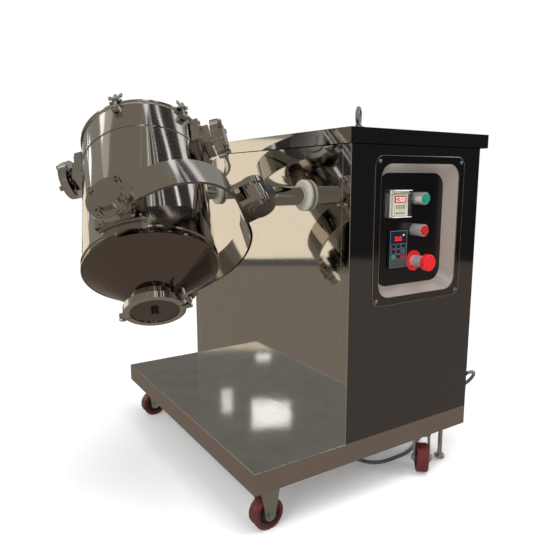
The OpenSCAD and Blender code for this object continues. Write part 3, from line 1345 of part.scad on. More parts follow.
module cord_coil() machine() color([0.2, 0.2, 0.2]) tube(coil_path, coil_sides, lead_d/2);

// Plug with two round pins, lying on the floor beside the coil
plug_w = 37;
plug_h = 2*coil_tail.z;
plug_l = 40;
plug_neck_l = 14;
plug_pin_d = 4.8;
plug_pin_l = 19;
plug_pin_pitch = 19;
module cord_plug() machine() color([0.12, 0.12, 0.12])
    translate(coil_tail - [2*seat, 0, 0]) rotate([0, -90, 0]) {
        cylinder(d1 = lead_d + 2, d2 = plug_h*0.7, h = plug_neck_l);
        translate([0, 0, plug_neck_l]) {
            rounded_plate(plug_h, plug_w, plug_h*0.3, plug_l - plug_neck_l);
            for (y = [-1, 1]) translate([0, y*plug_pin_pitch/2, plug_l - plug_neck_l])
                cylinder(d = plug_pin_d, h = plug_pin_l);
        }
    }

base_frame();
base_deck();
barrel_side_panel();
control_side_panel();
far_side_panel();
rear_cover();
panel_screws();
top_cover();
eyebolts();
control_tray();
timer();
timer_cover();
keypad();
button_bezels();
start_button();
stop_button();
estop_collar();
estop_head();
contact_blocks();
inverter();
drive_motor();
worm_gearbox();
bearing_plate();
bearing_housings();
shaft_seals();
cable_gland();
fixed_casters();
swivel_tops();
swivel_fork_1();
swivel_fork_2();
caster_wheel_1();
caster_wheel_2();
caster_wheel_3();
caster_wheel_4();
levelling_foot_1();
levelling_foot_2();
drive_shaft();
shaft_coupling();
driven_shaft();
near_yoke();
far_yoke();
near_pivot_pin();
far_pivot_pin();
near_hub_covers();
far_hub_covers();
barrel_shell();
discharge_cone();
trunnions();
barrel_lid();
gaskets();
lid_bolt_1();
lid_bolt_2();
lid_bolt_3();
lid_bolt_4();
outlet_clamp();
outlet_clamp_bolt();
outlet_cap();
power_cord();
cord_coil();
cord_plug();
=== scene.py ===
# %% [markdown]
# # Swing mixer beside a polished cabinet
# The drum, the yokes, the cabinet and every screw come from the exact model, and this lesson
# gives them their looks: mirror-polished stainless steel, a control side darkened by a painted
# reflection, a lit timer and keypad, dark red casters and the power lead on the floor.
# First the exact model is loaded.

# %% Load the exact model
import math

import bmesh
import bpy
from mathutils import Matrix, Vector


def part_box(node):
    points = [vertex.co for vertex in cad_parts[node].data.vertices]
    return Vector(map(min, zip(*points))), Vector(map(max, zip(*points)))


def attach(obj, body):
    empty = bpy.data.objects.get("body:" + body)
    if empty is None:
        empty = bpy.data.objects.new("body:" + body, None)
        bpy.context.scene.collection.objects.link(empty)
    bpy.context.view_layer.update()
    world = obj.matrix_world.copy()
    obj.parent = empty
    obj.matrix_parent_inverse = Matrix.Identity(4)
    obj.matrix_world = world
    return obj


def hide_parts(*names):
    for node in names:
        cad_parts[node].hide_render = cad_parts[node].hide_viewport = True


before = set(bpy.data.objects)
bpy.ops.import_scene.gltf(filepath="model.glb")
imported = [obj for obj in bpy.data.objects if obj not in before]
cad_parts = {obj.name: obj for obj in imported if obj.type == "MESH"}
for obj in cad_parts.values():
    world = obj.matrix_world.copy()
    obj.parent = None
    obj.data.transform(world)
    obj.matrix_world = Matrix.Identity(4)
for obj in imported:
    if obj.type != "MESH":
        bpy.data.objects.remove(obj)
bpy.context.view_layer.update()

# %% [markdown]
# The drawings of the machine measure from the barrel side of the cabinet, its control side and
# the floor, in millimetres. The model's origin is the middle of its box, so one helper turns
# drawing lengths into the model's metres.

# %% Places on the drawing
MM = 0.001
MID_X, MID_Y = -39.3364, 405.5


def at(x, y, z):
    return Vector(((x - MID_X) * MM, (y - MID_Y) * MM, z * MM))


# %% [markdown]
# The camera stands low and close on the corner between the drum and the control side, a little
# above the shafts, and looks slightly down. A wide lens at that short distance gives the strong
# perspective of the cover and the platform.

# %% Camera
VIEW_YAW = math.radians(32.4)
VIEW_PITCH = math.radians(-9.94)
VIEW_ROLL = math.radians(-0.12)
VIEW_FROM = at(-772, -912, 771)
SENSOR_WIDTH, LENS = 36.0, 35.66
camera_data = bpy.data.cameras.new("camera")
camera_data.sensor_width = SENSOR_WIDTH
camera_data.lens = LENS
camera = bpy.data.objects.new("camera", camera_data)
bpy.context.scene.collection.objects.link(camera)
bpy.context.scene.camera = camera
forward = Vector((math.sin(VIEW_YAW) * math.cos(VIEW_PITCH),
                  math.cos(VIEW_YAW) * math.cos(VIEW_PITCH), math.sin(VIEW_PITCH)))
camera.location = VIEW_FROM
camera.rotation_mode = "QUATERNION"
camera.rotation_quaternion = (forward.to_track_quat("-Z", "Y")
                              @ Matrix.Rotation(VIEW_ROLL, 3, "Z").to_quaternion())
print("camera at", [round(v, 3) for v in camera.location])

# %% [markdown]
# The power lead is a round rubber sheath. It leaves the strain relief at the rear, drops to the
# floor, wanders under the cabinet and ends in a stored coil behind it, with the plug beside the
# coil. It is a curve through points that lie close together, with smooth shading over the short
# straight runs between them. The curve's bevel gives the sheath its thickness, and each point
# carries the sheath's radius, so that the curve's box stays tight.

# %% Power lead
LEAD_D, LEAD_ROUNDNESS = 10.0, 5
COIL_R, COIL_STEP, COIL_TURNS, POINTS_PER_TURN = 65.8, 10.8, 4.5, 24
CLIMB_FROM_TURN, CLIMB_TURNS = 2.0, 0.5
LEAD_ROUTE = [
    (459, 30, 236), (471, 30, 236), (487, 32, 234), (501, 37, 227), (512, 45, 216),
    (517, 54, 204), (516, 64, 190), (507, 87, 165), (498, 112, 144), (490, 136, 124),
    (482, 156, 102), (475, 170, 77), (469, 173, 46), (463, 171, 30), (453, 166, 17),
    (440, 160, 8), (424, 153, 5), (402, 143, 5), (381, 131, 5), (361, 120, 5),
    (341, 111, 5), (320, 105, 5), (298, 102, 5), (272, 101, 5), (246, 101, 5),
    (222, 103, 5), (203, 110, 5), (188, 122, 5), (178, 138, 5), (173, 156, 5),
    (172, 175, 5), (178, 198, 5), (192, 219, 5), (212, 236, 5), (240, 253, 5),
    (272, 267, 5), (306, 278, 5), (342, 286, 5), (378, 292, 5), (414, 296, 5),
    (450, 298, 5), (486, 299, 5), (502, 299, 5), (512, 299, 5)]


def coil_point(turn):
    radius = COIL_R - COIL_STEP * min(turn, COIL_TURNS - turn)
    angle = 2 * math.pi * turn - math.pi / 2
    climb = max(0.0, min(1.0, (turn - CLIMB_FROM_TURN) / CLIMB_TURNS))
    x, y, z = LEAD_ROUTE[-1]
    return (x + LEAD_D + radius * math.cos(angle), y + COIL_R + radius * math.sin(angle),
            z + COIL_STEP * climb)


coil_points = [coil_point(i / POINTS_PER_TURN)
               for i in range(int(COIL_TURNS * POINTS_PER_TURN) + 1)]
coil_tail = (coil_points[-1][0] - COIL_R - LEAD_D, *coil_points[-1][1:])
lead_points = [at(*p) for p in [*LEAD_ROUTE, *coil_points, coil_tail]]
lead_curve = bpy.data.curves.new("power_lead", "CURVE")
lead_curve.dimensions = "3D"
lead_curve.bevel_depth = 1.0
lead_curve.bevel_resolution = LEAD_ROUNDNESS
lead_curve.use_fill_caps = True
spline = lead_curve.splines.new("POLY")
spline.points.add(len(lead_points) - 1)
for spline_point, place in zip(spline.points, lead_points):
    spline_point.co = (*place, 1)
    spline_point.radius = LEAD_D / 2 * MM
spline.use_smooth = True
power_lead = bpy.data.objects.new("power_lead", lead_curve)
bpy.context.scene.collection.objects.link(power_lead)
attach(power_lead, "root")
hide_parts("power_cord", "cord_coil")
lead_length = sum((b - a).length for a, b in zip(lead_points, lead_points[1:]))
print("lead length", round(lead_length, 4))

# %% [markdown]
# Polished metal is never quite clean or flat. Three small node groups carry what all the
# finishes share, so each material only sets its own amounts: fine polishing marks that vary the
# roughness, long soft waves in thin sheet, and a little dust and handling that dulls the shine.

# %% Shared surface effects


def new_group(name, inputs, outputs):
    group = bpy.data.node_groups.new(name, "ShaderNodeTree")
    for label, kind, value in inputs:
        socket = group.interface.new_socket(name=label, in_out="INPUT", socket_type=kind)
        if value is not None:
            socket.default_value = value
    for label, kind in outputs:
        group.interface.new_socket(name=label, in_out="OUTPUT", socket_type=kind)
    return group, group.nodes.new("NodeGroupInput"), group.nodes.new("NodeGroupOutput")


def add_node(tree, kind, links=None, **settings):
    made = tree.nodes.new("ShaderNode" + kind)
    for key, value in settings.items():
        setattr(made, key, value)
    for label, source in (links or {}).items():
        socket = made.inputs[label]
        if hasattr(source, "is_output"):
            tree.links.new(source, socket)
        else:
            socket.default_value = source
    return made


FLOAT, COLOUR, VECTOR = "NodeSocketFloat", "NodeSocketColor", "NodeSocketVector"


def build_polish_marks():
    group, given, out = new_group("polish_marks", [
        ("Roughness", FLOAT, 0.1), ("Spread", FLOAT, 0.05), ("Scale", FLOAT, 40.0),
        ("Grain", VECTOR, (1, 1, 1)), ("Depth", FLOAT, 0.1)],
        [("Roughness", FLOAT), ("Normal", VECTOR)])
    where = add_node(group, "TexCoord")
    stretched = add_node(group, "VectorMath", {0: where.outputs["Object"],
                                               1: given.outputs["Grain"]}, operation="MULTIPLY")
    smears = add_node(group, "TexNoise", {"Vector": where.outputs["Object"], "Scale": 7.0,
                                          "Detail": 5.0, "Roughness": 0.6})
    marks = add_node(group, "TexNoise", {"Vector": stretched.outputs[0],
                                         "Scale": given.outputs["Scale"], "Detail": 3.0})
    both = add_node(group, "Math", {0: smears.outputs["Fac"], 1: marks.outputs["Fac"]},
                    operation="ADD")
    centred = add_node(group, "Math", {0: both.outputs[0], 1: -1.0}, operation="ADD")
    spread = add_node(group, "Math", {0: centred.outputs[0], 1: given.outputs["Spread"],
                                      2: given.outputs["Roughness"]}, operation="MULTIPLY_ADD")
    kept = add_node(group, "Clamp", {"Value": spread.outputs[0], "Min": 0.02, "Max": 1.0})
    bump = add_node(group, "Bump", {"Height": marks.outputs["Fac"],
                                    "Strength": given.outputs["Depth"], "Distance": 0.0003})
    group.links.new(kept.outputs[0], out.inputs["Roughness"])
    group.links.new(bump.outputs["Normal"], out.inputs["Normal"])
    return group


def build_sheet_waves():
    group, given, out = new_group("sheet_waves", [("Depth", FLOAT, 0.2), ("Scale", FLOAT, 3.0),
                                                  ("Normal", VECTOR, None)],
                                  [("Normal", VECTOR)])
    where = add_node(group, "TexCoord")
    wave = add_node(group, "TexNoise", {"Vector": where.outputs["Object"],
                                        "Scale": given.outputs["Scale"], "Detail": 1.0})
    bump = add_node(group, "Bump", {"Height": wave.outputs["Fac"], "Distance": 0.01,
                                    "Strength": given.outputs["Depth"],
                                    "Normal": given.outputs["Normal"]})
    group.links.new(bump.outputs["Normal"], out.inputs["Normal"])
    return group


def build_dust():
    group, given, out = new_group("dust", [("Colour", COLOUR, (0.5, 0.5, 0.5, 1)),
                                           ("Dust", COLOUR, (0.3, 0.27, 0.24, 1)),
                                           ("Amount", FLOAT, 0.15), ("Scale", FLOAT, 14.0)],
                                  [("Colour", COLOUR), ("Mask", FLOAT)])
    where = add_node(group, "TexCoord")
    facing = add_node(group, "NewGeometry")
    split = add_node(group, "SeparateXYZ", {0: facing.outputs["Normal"]})
    up = add_node(group, "MapRange", {"Value": split.outputs["Z"], "From Min": -0.4,
                                      "From Max": 1.0, "To Min": 0.25, "To Max": 1.0})
    patches = add_node(group, "TexNoise", {"Vector": where.outputs["Object"],
                                           "Scale": given.outputs["Scale"], "Detail": 6.0,
                                           "Roughness": 0.65})
    sharper = add_node(group, "MapRange", {"Value": patches.outputs["Fac"], "From Min": 0.42,
                                           "From Max": 0.72})
    here = add_node(group, "Math", {0: sharper.outputs[0], 1: up.outputs[0]},
                    operation="MULTIPLY")
    mask = add_node(group, "Math", {0: here.outputs[0], 1: given.outputs["Amount"]},
                    operation="MULTIPLY")
    mixed = add_node(group, "Mix", {"Factor": mask.outputs[0], 6: given.outputs["Colour"],
                                    7: given.outputs["Dust"]}, data_type="RGBA")
    group.links.new(mixed.outputs[2], out.inputs["Colour"])
    group.links.new(mask.outputs[0], out.inputs["Mask"])
    return group


POLISH_MARKS, SHEET_WAVES, DUST = build_polish_marks(), build_sheet_waves(), build_dust()
print("shared effects", [g.name for g in (POLISH_MARKS, SHEET_WAVES, DUST)])

# %% [markdown]
# One helper builds every solid finish. Colour goes through the dust group, roughness and the
# fine relief come from the polishing marks, and thin sheet adds its waves. What is the same all
# over, such as metal or plastic, coat and specular level, is set on the shader itself.

# %% A finish from the shared effects


def finish(name, colour, metal=0.0, rough=0.3, spread=0.08, scale=60.0, grain=(1, 1, 1),
           depth=0.08, waves=0.0, wave_scale=3.0, dust=0.12, dust_colour=(0.30, 0.27, 0.24),
           coat=0.0, specular=0.5, glow=None, glow_strength=0.0):
    material = bpy.data.materials.new(name)
    material.use_nodes = True
    tree = material.node_tree
    shader = tree.nodes["Principled BSDF"]
    dusty = add_node(tree, "Group")
    dusty.node_tree = DUST
    dusty.inputs["Colour"].default_value = (*colour, 1)
    dusty.inputs["Dust"].default_value = (*dust_colour, 1)
    dusty.inputs["Amount"].default_value = dust
    marks = add_node(tree, "Group")
    marks.node_tree = POLISH_MARKS
    for label, value in (("Roughness", rough), ("Spread", spread), ("Scale", scale),
                         ("Grain", grain), ("Depth", depth)):
        marks.inputs[label].default_value = value
    normal = marks.outputs["Normal"]
    if waves:
        wavy = add_node(tree, "Group")
        wavy.node_tree = SHEET_WAVES
        wavy.inputs["Depth"].default_value = waves
        wavy.inputs["Scale"].default_value = wave_scale
        tree.links.new(normal, wavy.inputs["Normal"])
        normal = wavy.outputs["Normal"]
    tree.links.new(dusty.outputs["Colour"], shader.inputs["Base Color"])
    tree.links.new(marks.outputs["Roughness"], shader.inputs["Roughness"])
    tree.links.new(normal, shader.inputs["Normal"])
    shader.inputs["Metallic"].default_value = metal
    shader.inputs["Coat Weight"].default_value = coat
    shader.inputs["Specular IOR Level"].default_value = specular
    if glow:
        shader.inputs["Emission Color"].default_value = (*glow, 1)
        shader.inputs["Emission Strength"].default_value = glow_strength
    return material


FINISH = {
    "panel": finish("panel_mirror", (0.66, 0.64, 0.61), 1, 0.05, 0.03, 90, (1, 1, 8), 0.02,
                    waves=0.10, wave_scale=2.2, dust=0.10),
    "deck": finish("deck_mirror", (0.67, 0.665, 0.655), 1, 0.055, 0.06, 120, (1, 6, 1), 0.03,
                   waves=0.10, wave_scale=3.0, dust=0.30, dust_colour=(0.34, 0.31, 0.28)),
    # painted reflection: the skirt is the deck's steel, rougher, and given a warmer, dimmer
    # colour that stands for the brown ground it mirrors
    "skirt": finish("skirt_steel_painted_reflection", (0.58, 0.51, 0.475), 1, 0.16, 0.06, 120, (1, 6, 1), 0.03,
                    waves=0.10, wave_scale=3.0, dust=0.20),
    # painted dark reflection: the control side and cover are polished steel like the other
    # panels, given a far darker colour so that they read dark
    "painted_reflection_panel": finish("panel_mirror_painted_dark", (0.20, 0.195, 0.20), 1, 0.06, 0.03, 90, (1, 1, 8),
                         0.02, waves=0.14, wave_scale=2.6, dust=0.06,
                         dust_colour=(0.12, 0.11, 0.10)),
    # painted shade: the tray's floor is steel made almost black, for the shade in the recess
    "tray_painted_shade": finish("tray_floor_painted_shade", (0.085, 0.084, 0.088), 1, 0.22, 0.06, 160,
                        (1, 1, 12), 0.05, dust=0.08, dust_colour=(0.16, 0.15, 0.14)),
    "tray_wall": finish("tray_wall_steel", (0.70, 0.63, 0.58), 0.7, 0.30, 0.06, 160, (1, 8, 1),
                        0.05, dust=0.05),
    # painted dark reflection: the tray's rim is steel darkened like the control side round it
    "tray_rim": finish("tray_rim_painted_dark_reflection", (0.16, 0.15, 0.145), 1, 0.10, 0.04, 120, depth=0.03,
                       dust=0.05),
    "drum": finish("drum_polish", (0.66, 0.63, 0.59), 1, 0.075, 0.04, 140, (6, 6, 1), 0.03,
                   waves=0.10, wave_scale=5.0, dust=0.06),
    # painted reflection: the outlet cap is polished steel given a dark brown colour for the
    # ground it mirrors
    "cap": finish("cap_painted_reflection", (0.21, 0.185, 0.16), 1, 0.10, 0.05, 140, depth=0.03,
                  dust=0.05),
    # painted reflection: the cone is polished steel given a dark brown colour for the ground it
    # mirrors
    "cone": finish("cone_painted_reflection", (0.25, 0.21, 0.18), 1, 0.09, 0.05, 140, (1, 1, 5), 0.03,
                   waves=0.10, wave_scale=6.0, dust=0.05),
    "link": finish("linkage_polish", (0.66, 0.64, 0.61), 1, 0.09, 0.05, 160, depth=0.03,
                   waves=0.06, wave_scale=9.0, dust=0.06),
    "hub": finish("hub_turned", (0.60, 0.58, 0.55), 1, 0.15, 0.06, 200, depth=0.06,
                  dust=0.08),
    "fastener": finish("fastener_bright", (0.70, 0.70, 0.69), 1, 0.20, 0.08, 220, depth=0.08,
                       dust=0.08),
    "chrome": finish("chrome_bezel", (0.88, 0.88, 0.88), 0.72, 0.24, 0.04, 60, dust=0.0),
    "zinc": finish("zinc_plate", (0.58, 0.59, 0.60), 1, 0.30, 0.12, 40, depth=0.08,
                   dust=0.25),
    "frame": finish("chassis_paint", (0.16, 0.165, 0.17), 0, 0.50, 0.12, 70, depth=0.15,
                    dust=0.30),
    "iron": finish("bearing_iron", (0.12, 0.22, 0.18), 0, 0.45, 0.12, 90, depth=0.4,
                   dust=0.25),
    "drive": finish("drive_paint", (0.10, 0.20, 0.32), 0, 0.38, 0.10, 110, depth=0.3,
                    dust=0.20),
    "seal": finish("seal_polymer", (0.52, 0.50, 0.42), 0, 0.45, 0.10, 120, depth=0.12,
                   dust=0.20),
    "gasket": finish("white_silicone", (0.78, 0.77, 0.73), 0, 0.45, 0.10, 90, dust=0.10),
    "cream": finish("timer_cream", (0.80, 0.72, 0.55), 0, 0.40, 0.06, 120, depth=0.05,
                    dust=0.10),
    "film": finish("keypad_film", (0.012, 0.014, 0.026), 0, 0.20, 0.05, 200, depth=0.03,
                   dust=0.04, dust_colour=(0.06, 0.06, 0.07)),
    "green": finish("green_cap", (0.01, 0.26, 0.17), 0, 0.25, 0.06, 120, dust=0.06, coat=0.3),
    "red": finish("red_cap", (0.48, 0.018, 0.016), 0, 0.25, 0.06, 120, dust=0.06, coat=0.3),
    "stop_red": finish("emergency_red", (0.72, 0.012, 0.018), 0, 0.28, 0.06, 120, dust=0.04,
                       coat=0.2),
    "black": finish("black_plastic", (0.022, 0.022, 0.024), 0, 0.42, 0.10, 140, depth=0.15,
                    dust=0.15, dust_colour=(0.10, 0.095, 0.09)),
    "lead": finish("lead_sheath", (0.16, 0.16, 0.165), 0, 0.50, 0.08, 220, depth=0.12,
                   dust=0.20, dust_colour=(0.26, 0.25, 0.24)),
    "tyre": finish("wheel_tyre", (0.115, 0.014, 0.015), 0, 0.36, 0.10, 90, depth=0.10,
                   dust=0.30, dust_colour=(0.20, 0.15, 0.13)),
    "core": finish("wheel_core", (0.045, 0.012, 0.014), 0, 0.45, 0.10, 90, dust=0.25),
}
power_lead.data.materials.append(FINISH["lead"])
print("finishes", len(FINISH))

# %% [markdown]
# The clear timer cover has thin plastic walls. It stays a plain glass-like shader: full
# transmission, a smooth surface with faint scuffs and a low index, so the lit face behind it
# stays readable.

# %% Clear plastic
clear = bpy.data.materials.new("clear_cover")
clear.use_nodes = True
clear_shader = clear.node_tree.nodes["Principled BSDF"]
clear_shader.inputs["Base Color"].default_value = (0.93, 0.95, 0.95, 1)
clear_shader.inputs["Transmission Weight"].default_value = 1.0
clear_shader.inputs["IOR"].default_value = 1.25
scuffs = add_node(clear.node_tree, "Group")
scuffs.node_tree = POLISH_MARKS
scuffs.inputs["Roughness"].default_value = 0.05
scuffs.inputs["Spread"].default_value = 0.05
scuffs.inputs["Depth"].default_value = 0.02
clear.node_tree.links.new(scuffs.outputs["Roughness"], clear_shader.inputs["Roughness"])
FINISH["clear"] = clear
print("clear cover ready")

# %% [markdown]
# Each exact piece keeps its shape and gets its finish. Two things help the light: a very narrow
# bevel rounds the hard edges, as deburred sheet and turned parts are, and smooth shading with
# sharp edges kept above an angle lets the round parts read as round.

# %% Dress the exact pieces
EDGE_ANGLE, EDGE_SEGMENTS = math.radians(32), 2


def smooth_shade(mesh):
    mesh.shade_smooth()
    mesh.set_sharp_from_angle(angle=EDGE_ANGLE)


def round_edges(piece, width, harden):
    """A bevel of width millimetres. Hardened normals keep the flats beside it flat."""
    rounded = piece.modifiers.new("edge", "BEVEL")
    rounded.width = width * MM
    rounded.segments = EDGE_SEGMENTS
    rounded.limit_method = "ANGLE"
    rounded.angle_limit = EDGE_ANGLE
    rounded.harden_normals = harden


def dress(node, look, bevel):
    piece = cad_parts[node]
    piece.data.materials.clear()
    piece.data.materials.append(FINISH[look])
    smooth_shade(piece.data)
    if bevel:
        round_edges(piece, bevel, True)


# look: bevel in millimetres, and the pieces that it goes on
LOOKS = {
    "panel": (0.9, "barrel_side_panel far_side_panel rear_cover"),
    "deck": (2.0, "base_deck"),
    "painted_reflection_panel": (1.3, "control_side_panel top_cover"),
    "tray_rim": (0.5, "control_tray"),
    "drum": (0.4, "barrel_shell barrel_lid"),
    "cone": (0.4, "discharge_cone"),
    "cap": (0.3, "outlet_cap"),
    "link": (0.6, "near_yoke far_yoke trunnions drive_shaft driven_shaft outlet_clamp"),
    "hub": (0.5, "near_hub_covers far_hub_covers near_pivot_pin far_pivot_pin "
                 "shaft_coupling"),
    "fastener": (0.3, "panel_screws eyebolts lid_bolt_1 lid_bolt_2 lid_bolt_3 lid_bolt_4 "
                      "outlet_clamp_bolt levelling_foot_1 levelling_foot_2"),
    "zinc": (0.3, "fixed_casters swivel_tops swivel_fork_1 swivel_fork_2"),
    "frame": (0.4, "base_frame bearing_plate"),
    "iron": (0.6, "bearing_housings"),
    "drive": (0.6, "drive_motor worm_gearbox"),
    "seal": (0.0, "shaft_seals"),
    "gasket": (0.0, "gaskets"),
    "cream": (0.3, "timer"),
    "clear": (0.3, "timer_cover"),
    "film": (0.3, "keypad"),
    "chrome": (0.4, "button_bezels"),
    "green": (0.4, "start_button"),
    "red": (0.4, "stop_button"),
    "stop_red": (0.4, "estop_head estop_collar"),
    "black": (0.4, "contact_blocks inverter cable_gland cord_plug"),
    "tyre": (0.3, "caster_wheel_1 caster_wheel_2 caster_wheel_3 caster_wheel_4"),
}
for look, (bevel, names) in LOOKS.items():
    for name in names.split():
        dress(name, look, bevel)
print("dressed", sum(len(names.split()) for bevel, names in LOOKS.values()), "pieces")

# %% [markdown]
# Some exact pieces carry more than one finish. The control tray has a rim darkened by a painted
# dark reflection, satin walls and a floor darkened by painted shade, a caster wheel has a dark
# core inside its red tyre, the control panel and cover carry a painted dark reflection except
# where they face the drum, and the platform's skirt is duller than its deck and carries a painted
# warm reflection. Faces are sorted by where they lie and look, and each group gets its own
# material slot.

# %% Faces with their own finish
# the tray's depth in millimetres, and how far off its floor and its rim a face still counts
TRAY_DEPTH, FLOOR_BAND, RIM_BAND = 30, 0.5, 0.4
TRAY_FLOOR_Y = at(0, TRAY_DEPTH - FLOOR_BAND, 0).y
RIM_BACK_Y = at(0, RIM_BAND, 0).y
# how large a part of a face's normal lies along an axis
STRAIGHT_ON, NEARLY_ON, UPRIGHT = 0.95, 0.9, 0.5
WHEEL_D, CORE_SHARE, CORE_SLACK = 75, 0.39, 0.05
CORE_R = (WHEEL_D * CORE_SHARE + CORE_SLACK) * MM
CORE_HALF_WIDTH, CORE_MARGIN = 17.6 * MM, 4 * MM


def sort_faces(node, looks, choose):
    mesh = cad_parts[node].data
    for look in looks:
        mesh.materials.append(FINISH[look])
    for face in mesh.polygons:
        face.material_index = choose(face)


def tray_face(face):
    depth = face.center.y
    if face.normal.y < -STRAIGHT_ON and depth > TRAY_FLOOR_Y:
        return 1
    return 2 if depth > RIM_BACK_Y else 0


def core_sorter(corners, middle):
    """Sorts the faces of one wheel, from its mesh corners and the middle of its box."""
    def in_core(face):
        reach = max((corners[v].co - middle).length for v in face.vertices)
        return int(reach < math.hypot(CORE_R, CORE_HALF_WIDTH)
                   and (face.center - middle).length < CORE_R + CORE_MARGIN)
    return in_core


# the tray's floor carries painted shade and its rim a painted dark reflection; the walls are
# satin steel
sort_faces("control_tray", ["tray_painted_shade", "tray_wall"], tray_face)
# faces towards the drum keep the plain panel steel; the others keep the painted dark reflection
for node in ("control_side_panel", "top_cover"):
    sort_faces(node, ["panel"], lambda face: int(face.normal.x < -NEARLY_ON))
# the skirt's upright faces are rougher and carry a painted warm reflection
sort_faces("base_deck", ["skirt"], lambda face: int(abs(face.normal.z) < UPRIGHT))
for number in range(1, 5):
    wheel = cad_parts[f"caster_wheel_{number}"]
    wheel_low, wheel_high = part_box(wheel.name)
    sort_faces(wheel.name, ["core"],
               core_sorter(wheel.data.vertices, (wheel_low + wheel_high) / 2))
print("sorted faces of the tray, the panel, the cover, the platform and four wheels")

# %% [markdown]
# New pieces are made from a few mesh helpers: a plate with rounded corners, and a round bar that
# follows a line. Each new piece rides on its body and names the slot that it belongs to.

# %% Mesh helpers
PLATE_CORNER_STEPS, BAR_SIDES = 4, 8


def add_piece(name, mesh_maker, look, body="root", bevel=0.0):
    mesh = bpy.data.meshes.new(name)
    built = bmesh.new()
    mesh_maker(built)
    bmesh.ops.recalc_face_normals(built, faces=built.faces)
    built.to_mesh(mesh)
    built.free()
    mesh.materials.append(FINISH[look])
    smooth_shade(mesh)
    piece = bpy.data.objects.new(name, mesh)
    bpy.context.scene.collection.objects.link(piece)
    if bevel:
        round_edges(piece, bevel, False)
    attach(piece, body)


def rounded_outline(x, z, wide, high, corner, steps):
    """The outline of a plate that faces the control side, as pairs of x and z."""
    outline = []
    corner = min(corner, wide / 2, high / 2)
    for quarter, (sx, sz) in enumerate([(1, 1), (-1, 1), (-1, -1), (1, -1)]):
        for step in range(steps + 1 if corner else 1):
            angle = math.pi / 2 * (quarter + step / steps) if corner else 0
            outline.append((x + sx * (wide / 2 - corner) + corner * math.cos(angle),
                            z + sz * (high / 2 - corner) + corner * math.sin(angle)))
    return outline


def front_plate(built, x, z, wide, high, front, thick, corner=0.0):
    """A plate that faces the control side: middle x, z, size, front plane y and thickness."""
    outline = rounded_outline(x, z, wide, high, corner, PLATE_CORNER_STEPS)
    near = [built.verts.new(at(px, front, pz)) for px, pz in outline]
    far = [built.verts.new(at(px, front + thick, pz)) for px, pz in outline]
    built.faces.new(near)
    built.faces.new(list(reversed(far)))
    for i in range(len(near)):
        j = (i + 1) % len(near)
        built.faces.new([near[j], near[i], far[i], far[j]])


def round_bar(built, path, radius, square_to, closed=False):
    """A round bar along a flat path of model points. square_to is square to that path."""
    rings = []
    for i, point in enumerate(path):
        before = path[i - 1] if i or closed else point
        after = path[(i + 1) % len(path)] if closed or i < len(path) - 1 else point
        along = ((point - before).normalized() + (after - point).normalized()).normalized()
        across = along.cross(square_to)
        rings.append([built.verts.new(point + radius * (math.cos(a) * across
                                                        + math.sin(a) * square_to))
                      for a in (2 * math.pi * k / BAR_SIDES for k in range(BAR_SIDES))])
    for i in range(len(rings) - (0 if closed else 1)):
        here, there = rings[i], rings[(i + 1) % len(rings)]
        for k in range(BAR_SIDES):
            n = (k + 1) % BAR_SIDES
            built.faces.new([here[k], here[n], there[n], there[k]])
    if not closed:
        built.faces.new(list(reversed(rings[0])))
        built.faces.new(rings[-1])


print("mesh helpers ready")

# %% [markdown]
# Folded and polished sheet has a rounded, brighter line along each edge. The exact model keeps
# those folds sharp, so a fine bead lies on each one: round the deck, down the corners and seams
# of the barrel side, and round the control tray and its mouth. A round bead mirrors the whole
# room at once, which is partly why such a line looks bright; the rest is a painted highlight, as
# the bead's steel is painted lighter than the sheet's.

# %% Bright edges
# painted highlight: the bead's steel is lighter than the sheet steel round it
FINISH["edge"] = finish("edge_painted_highlight", (0.86, 0.85, 0.83), 1, 0.14, 0.05, 200, depth=0.05,
                        dust=0.04)
Y_AXIS, Z_AXIS = Vector((0, 1, 0)), Vector((0, 0, 1))
EDGE_CORNER_STEPS = 8
DECK_INSET, DECK_BEAD = 0.5 * MM, 0.9 * MM
CORNER_INSET, CORNER_BEAD = 0.4 * MM, 0.8 * MM
SEAM_INSET, SEAM_BEAD = 0.2 * MM, 0.45 * MM
# margin inside the tray's box, corner radius, radius of the bead, how far back it lies
TRAY_BEADS = [(0.4, 23.6, 0.7, 0.4), (18.0, 34.0, 0.5, 0.25)]
deck_low, deck_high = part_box("base_deck")
near_low, near_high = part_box("control_side_panel")
far_low, far_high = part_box("far_side_panel")
barrel_low, barrel_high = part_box("barrel_side_panel")
tray_low, tray_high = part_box("control_tray")


def deck_edges(built):
    west, south = deck_low.x + DECK_INSET, deck_low.y + DECK_INSET
    north, level = deck_high.y - DECK_INSET, deck_high.z - DECK_INSET
    round_bar(built, [Vector((near_low.x, south, level)), Vector((west, south, level)),
                      Vector((west, north, level)), Vector((near_low.x, north, level))],
              DECK_BEAD, Z_AXIS)


def upright_edges(built):
    seam_x = barrel_low.x + SEAM_INSET
    for x, y, radius in ((near_low.x + CORNER_INSET, near_low.y + CORNER_INSET, CORNER_BEAD),
                         (seam_x, barrel_low.y, SEAM_BEAD), (seam_x, barrel_high.y, SEAM_BEAD),
                         (far_low.x + CORNER_INSET, far_high.y - CORNER_INSET, CORNER_BEAD)):
        round_bar(built, [Vector((x, y, deck_high.z)), Vector((x, y, near_high.z - MM))],
                  radius, Y_AXIS)


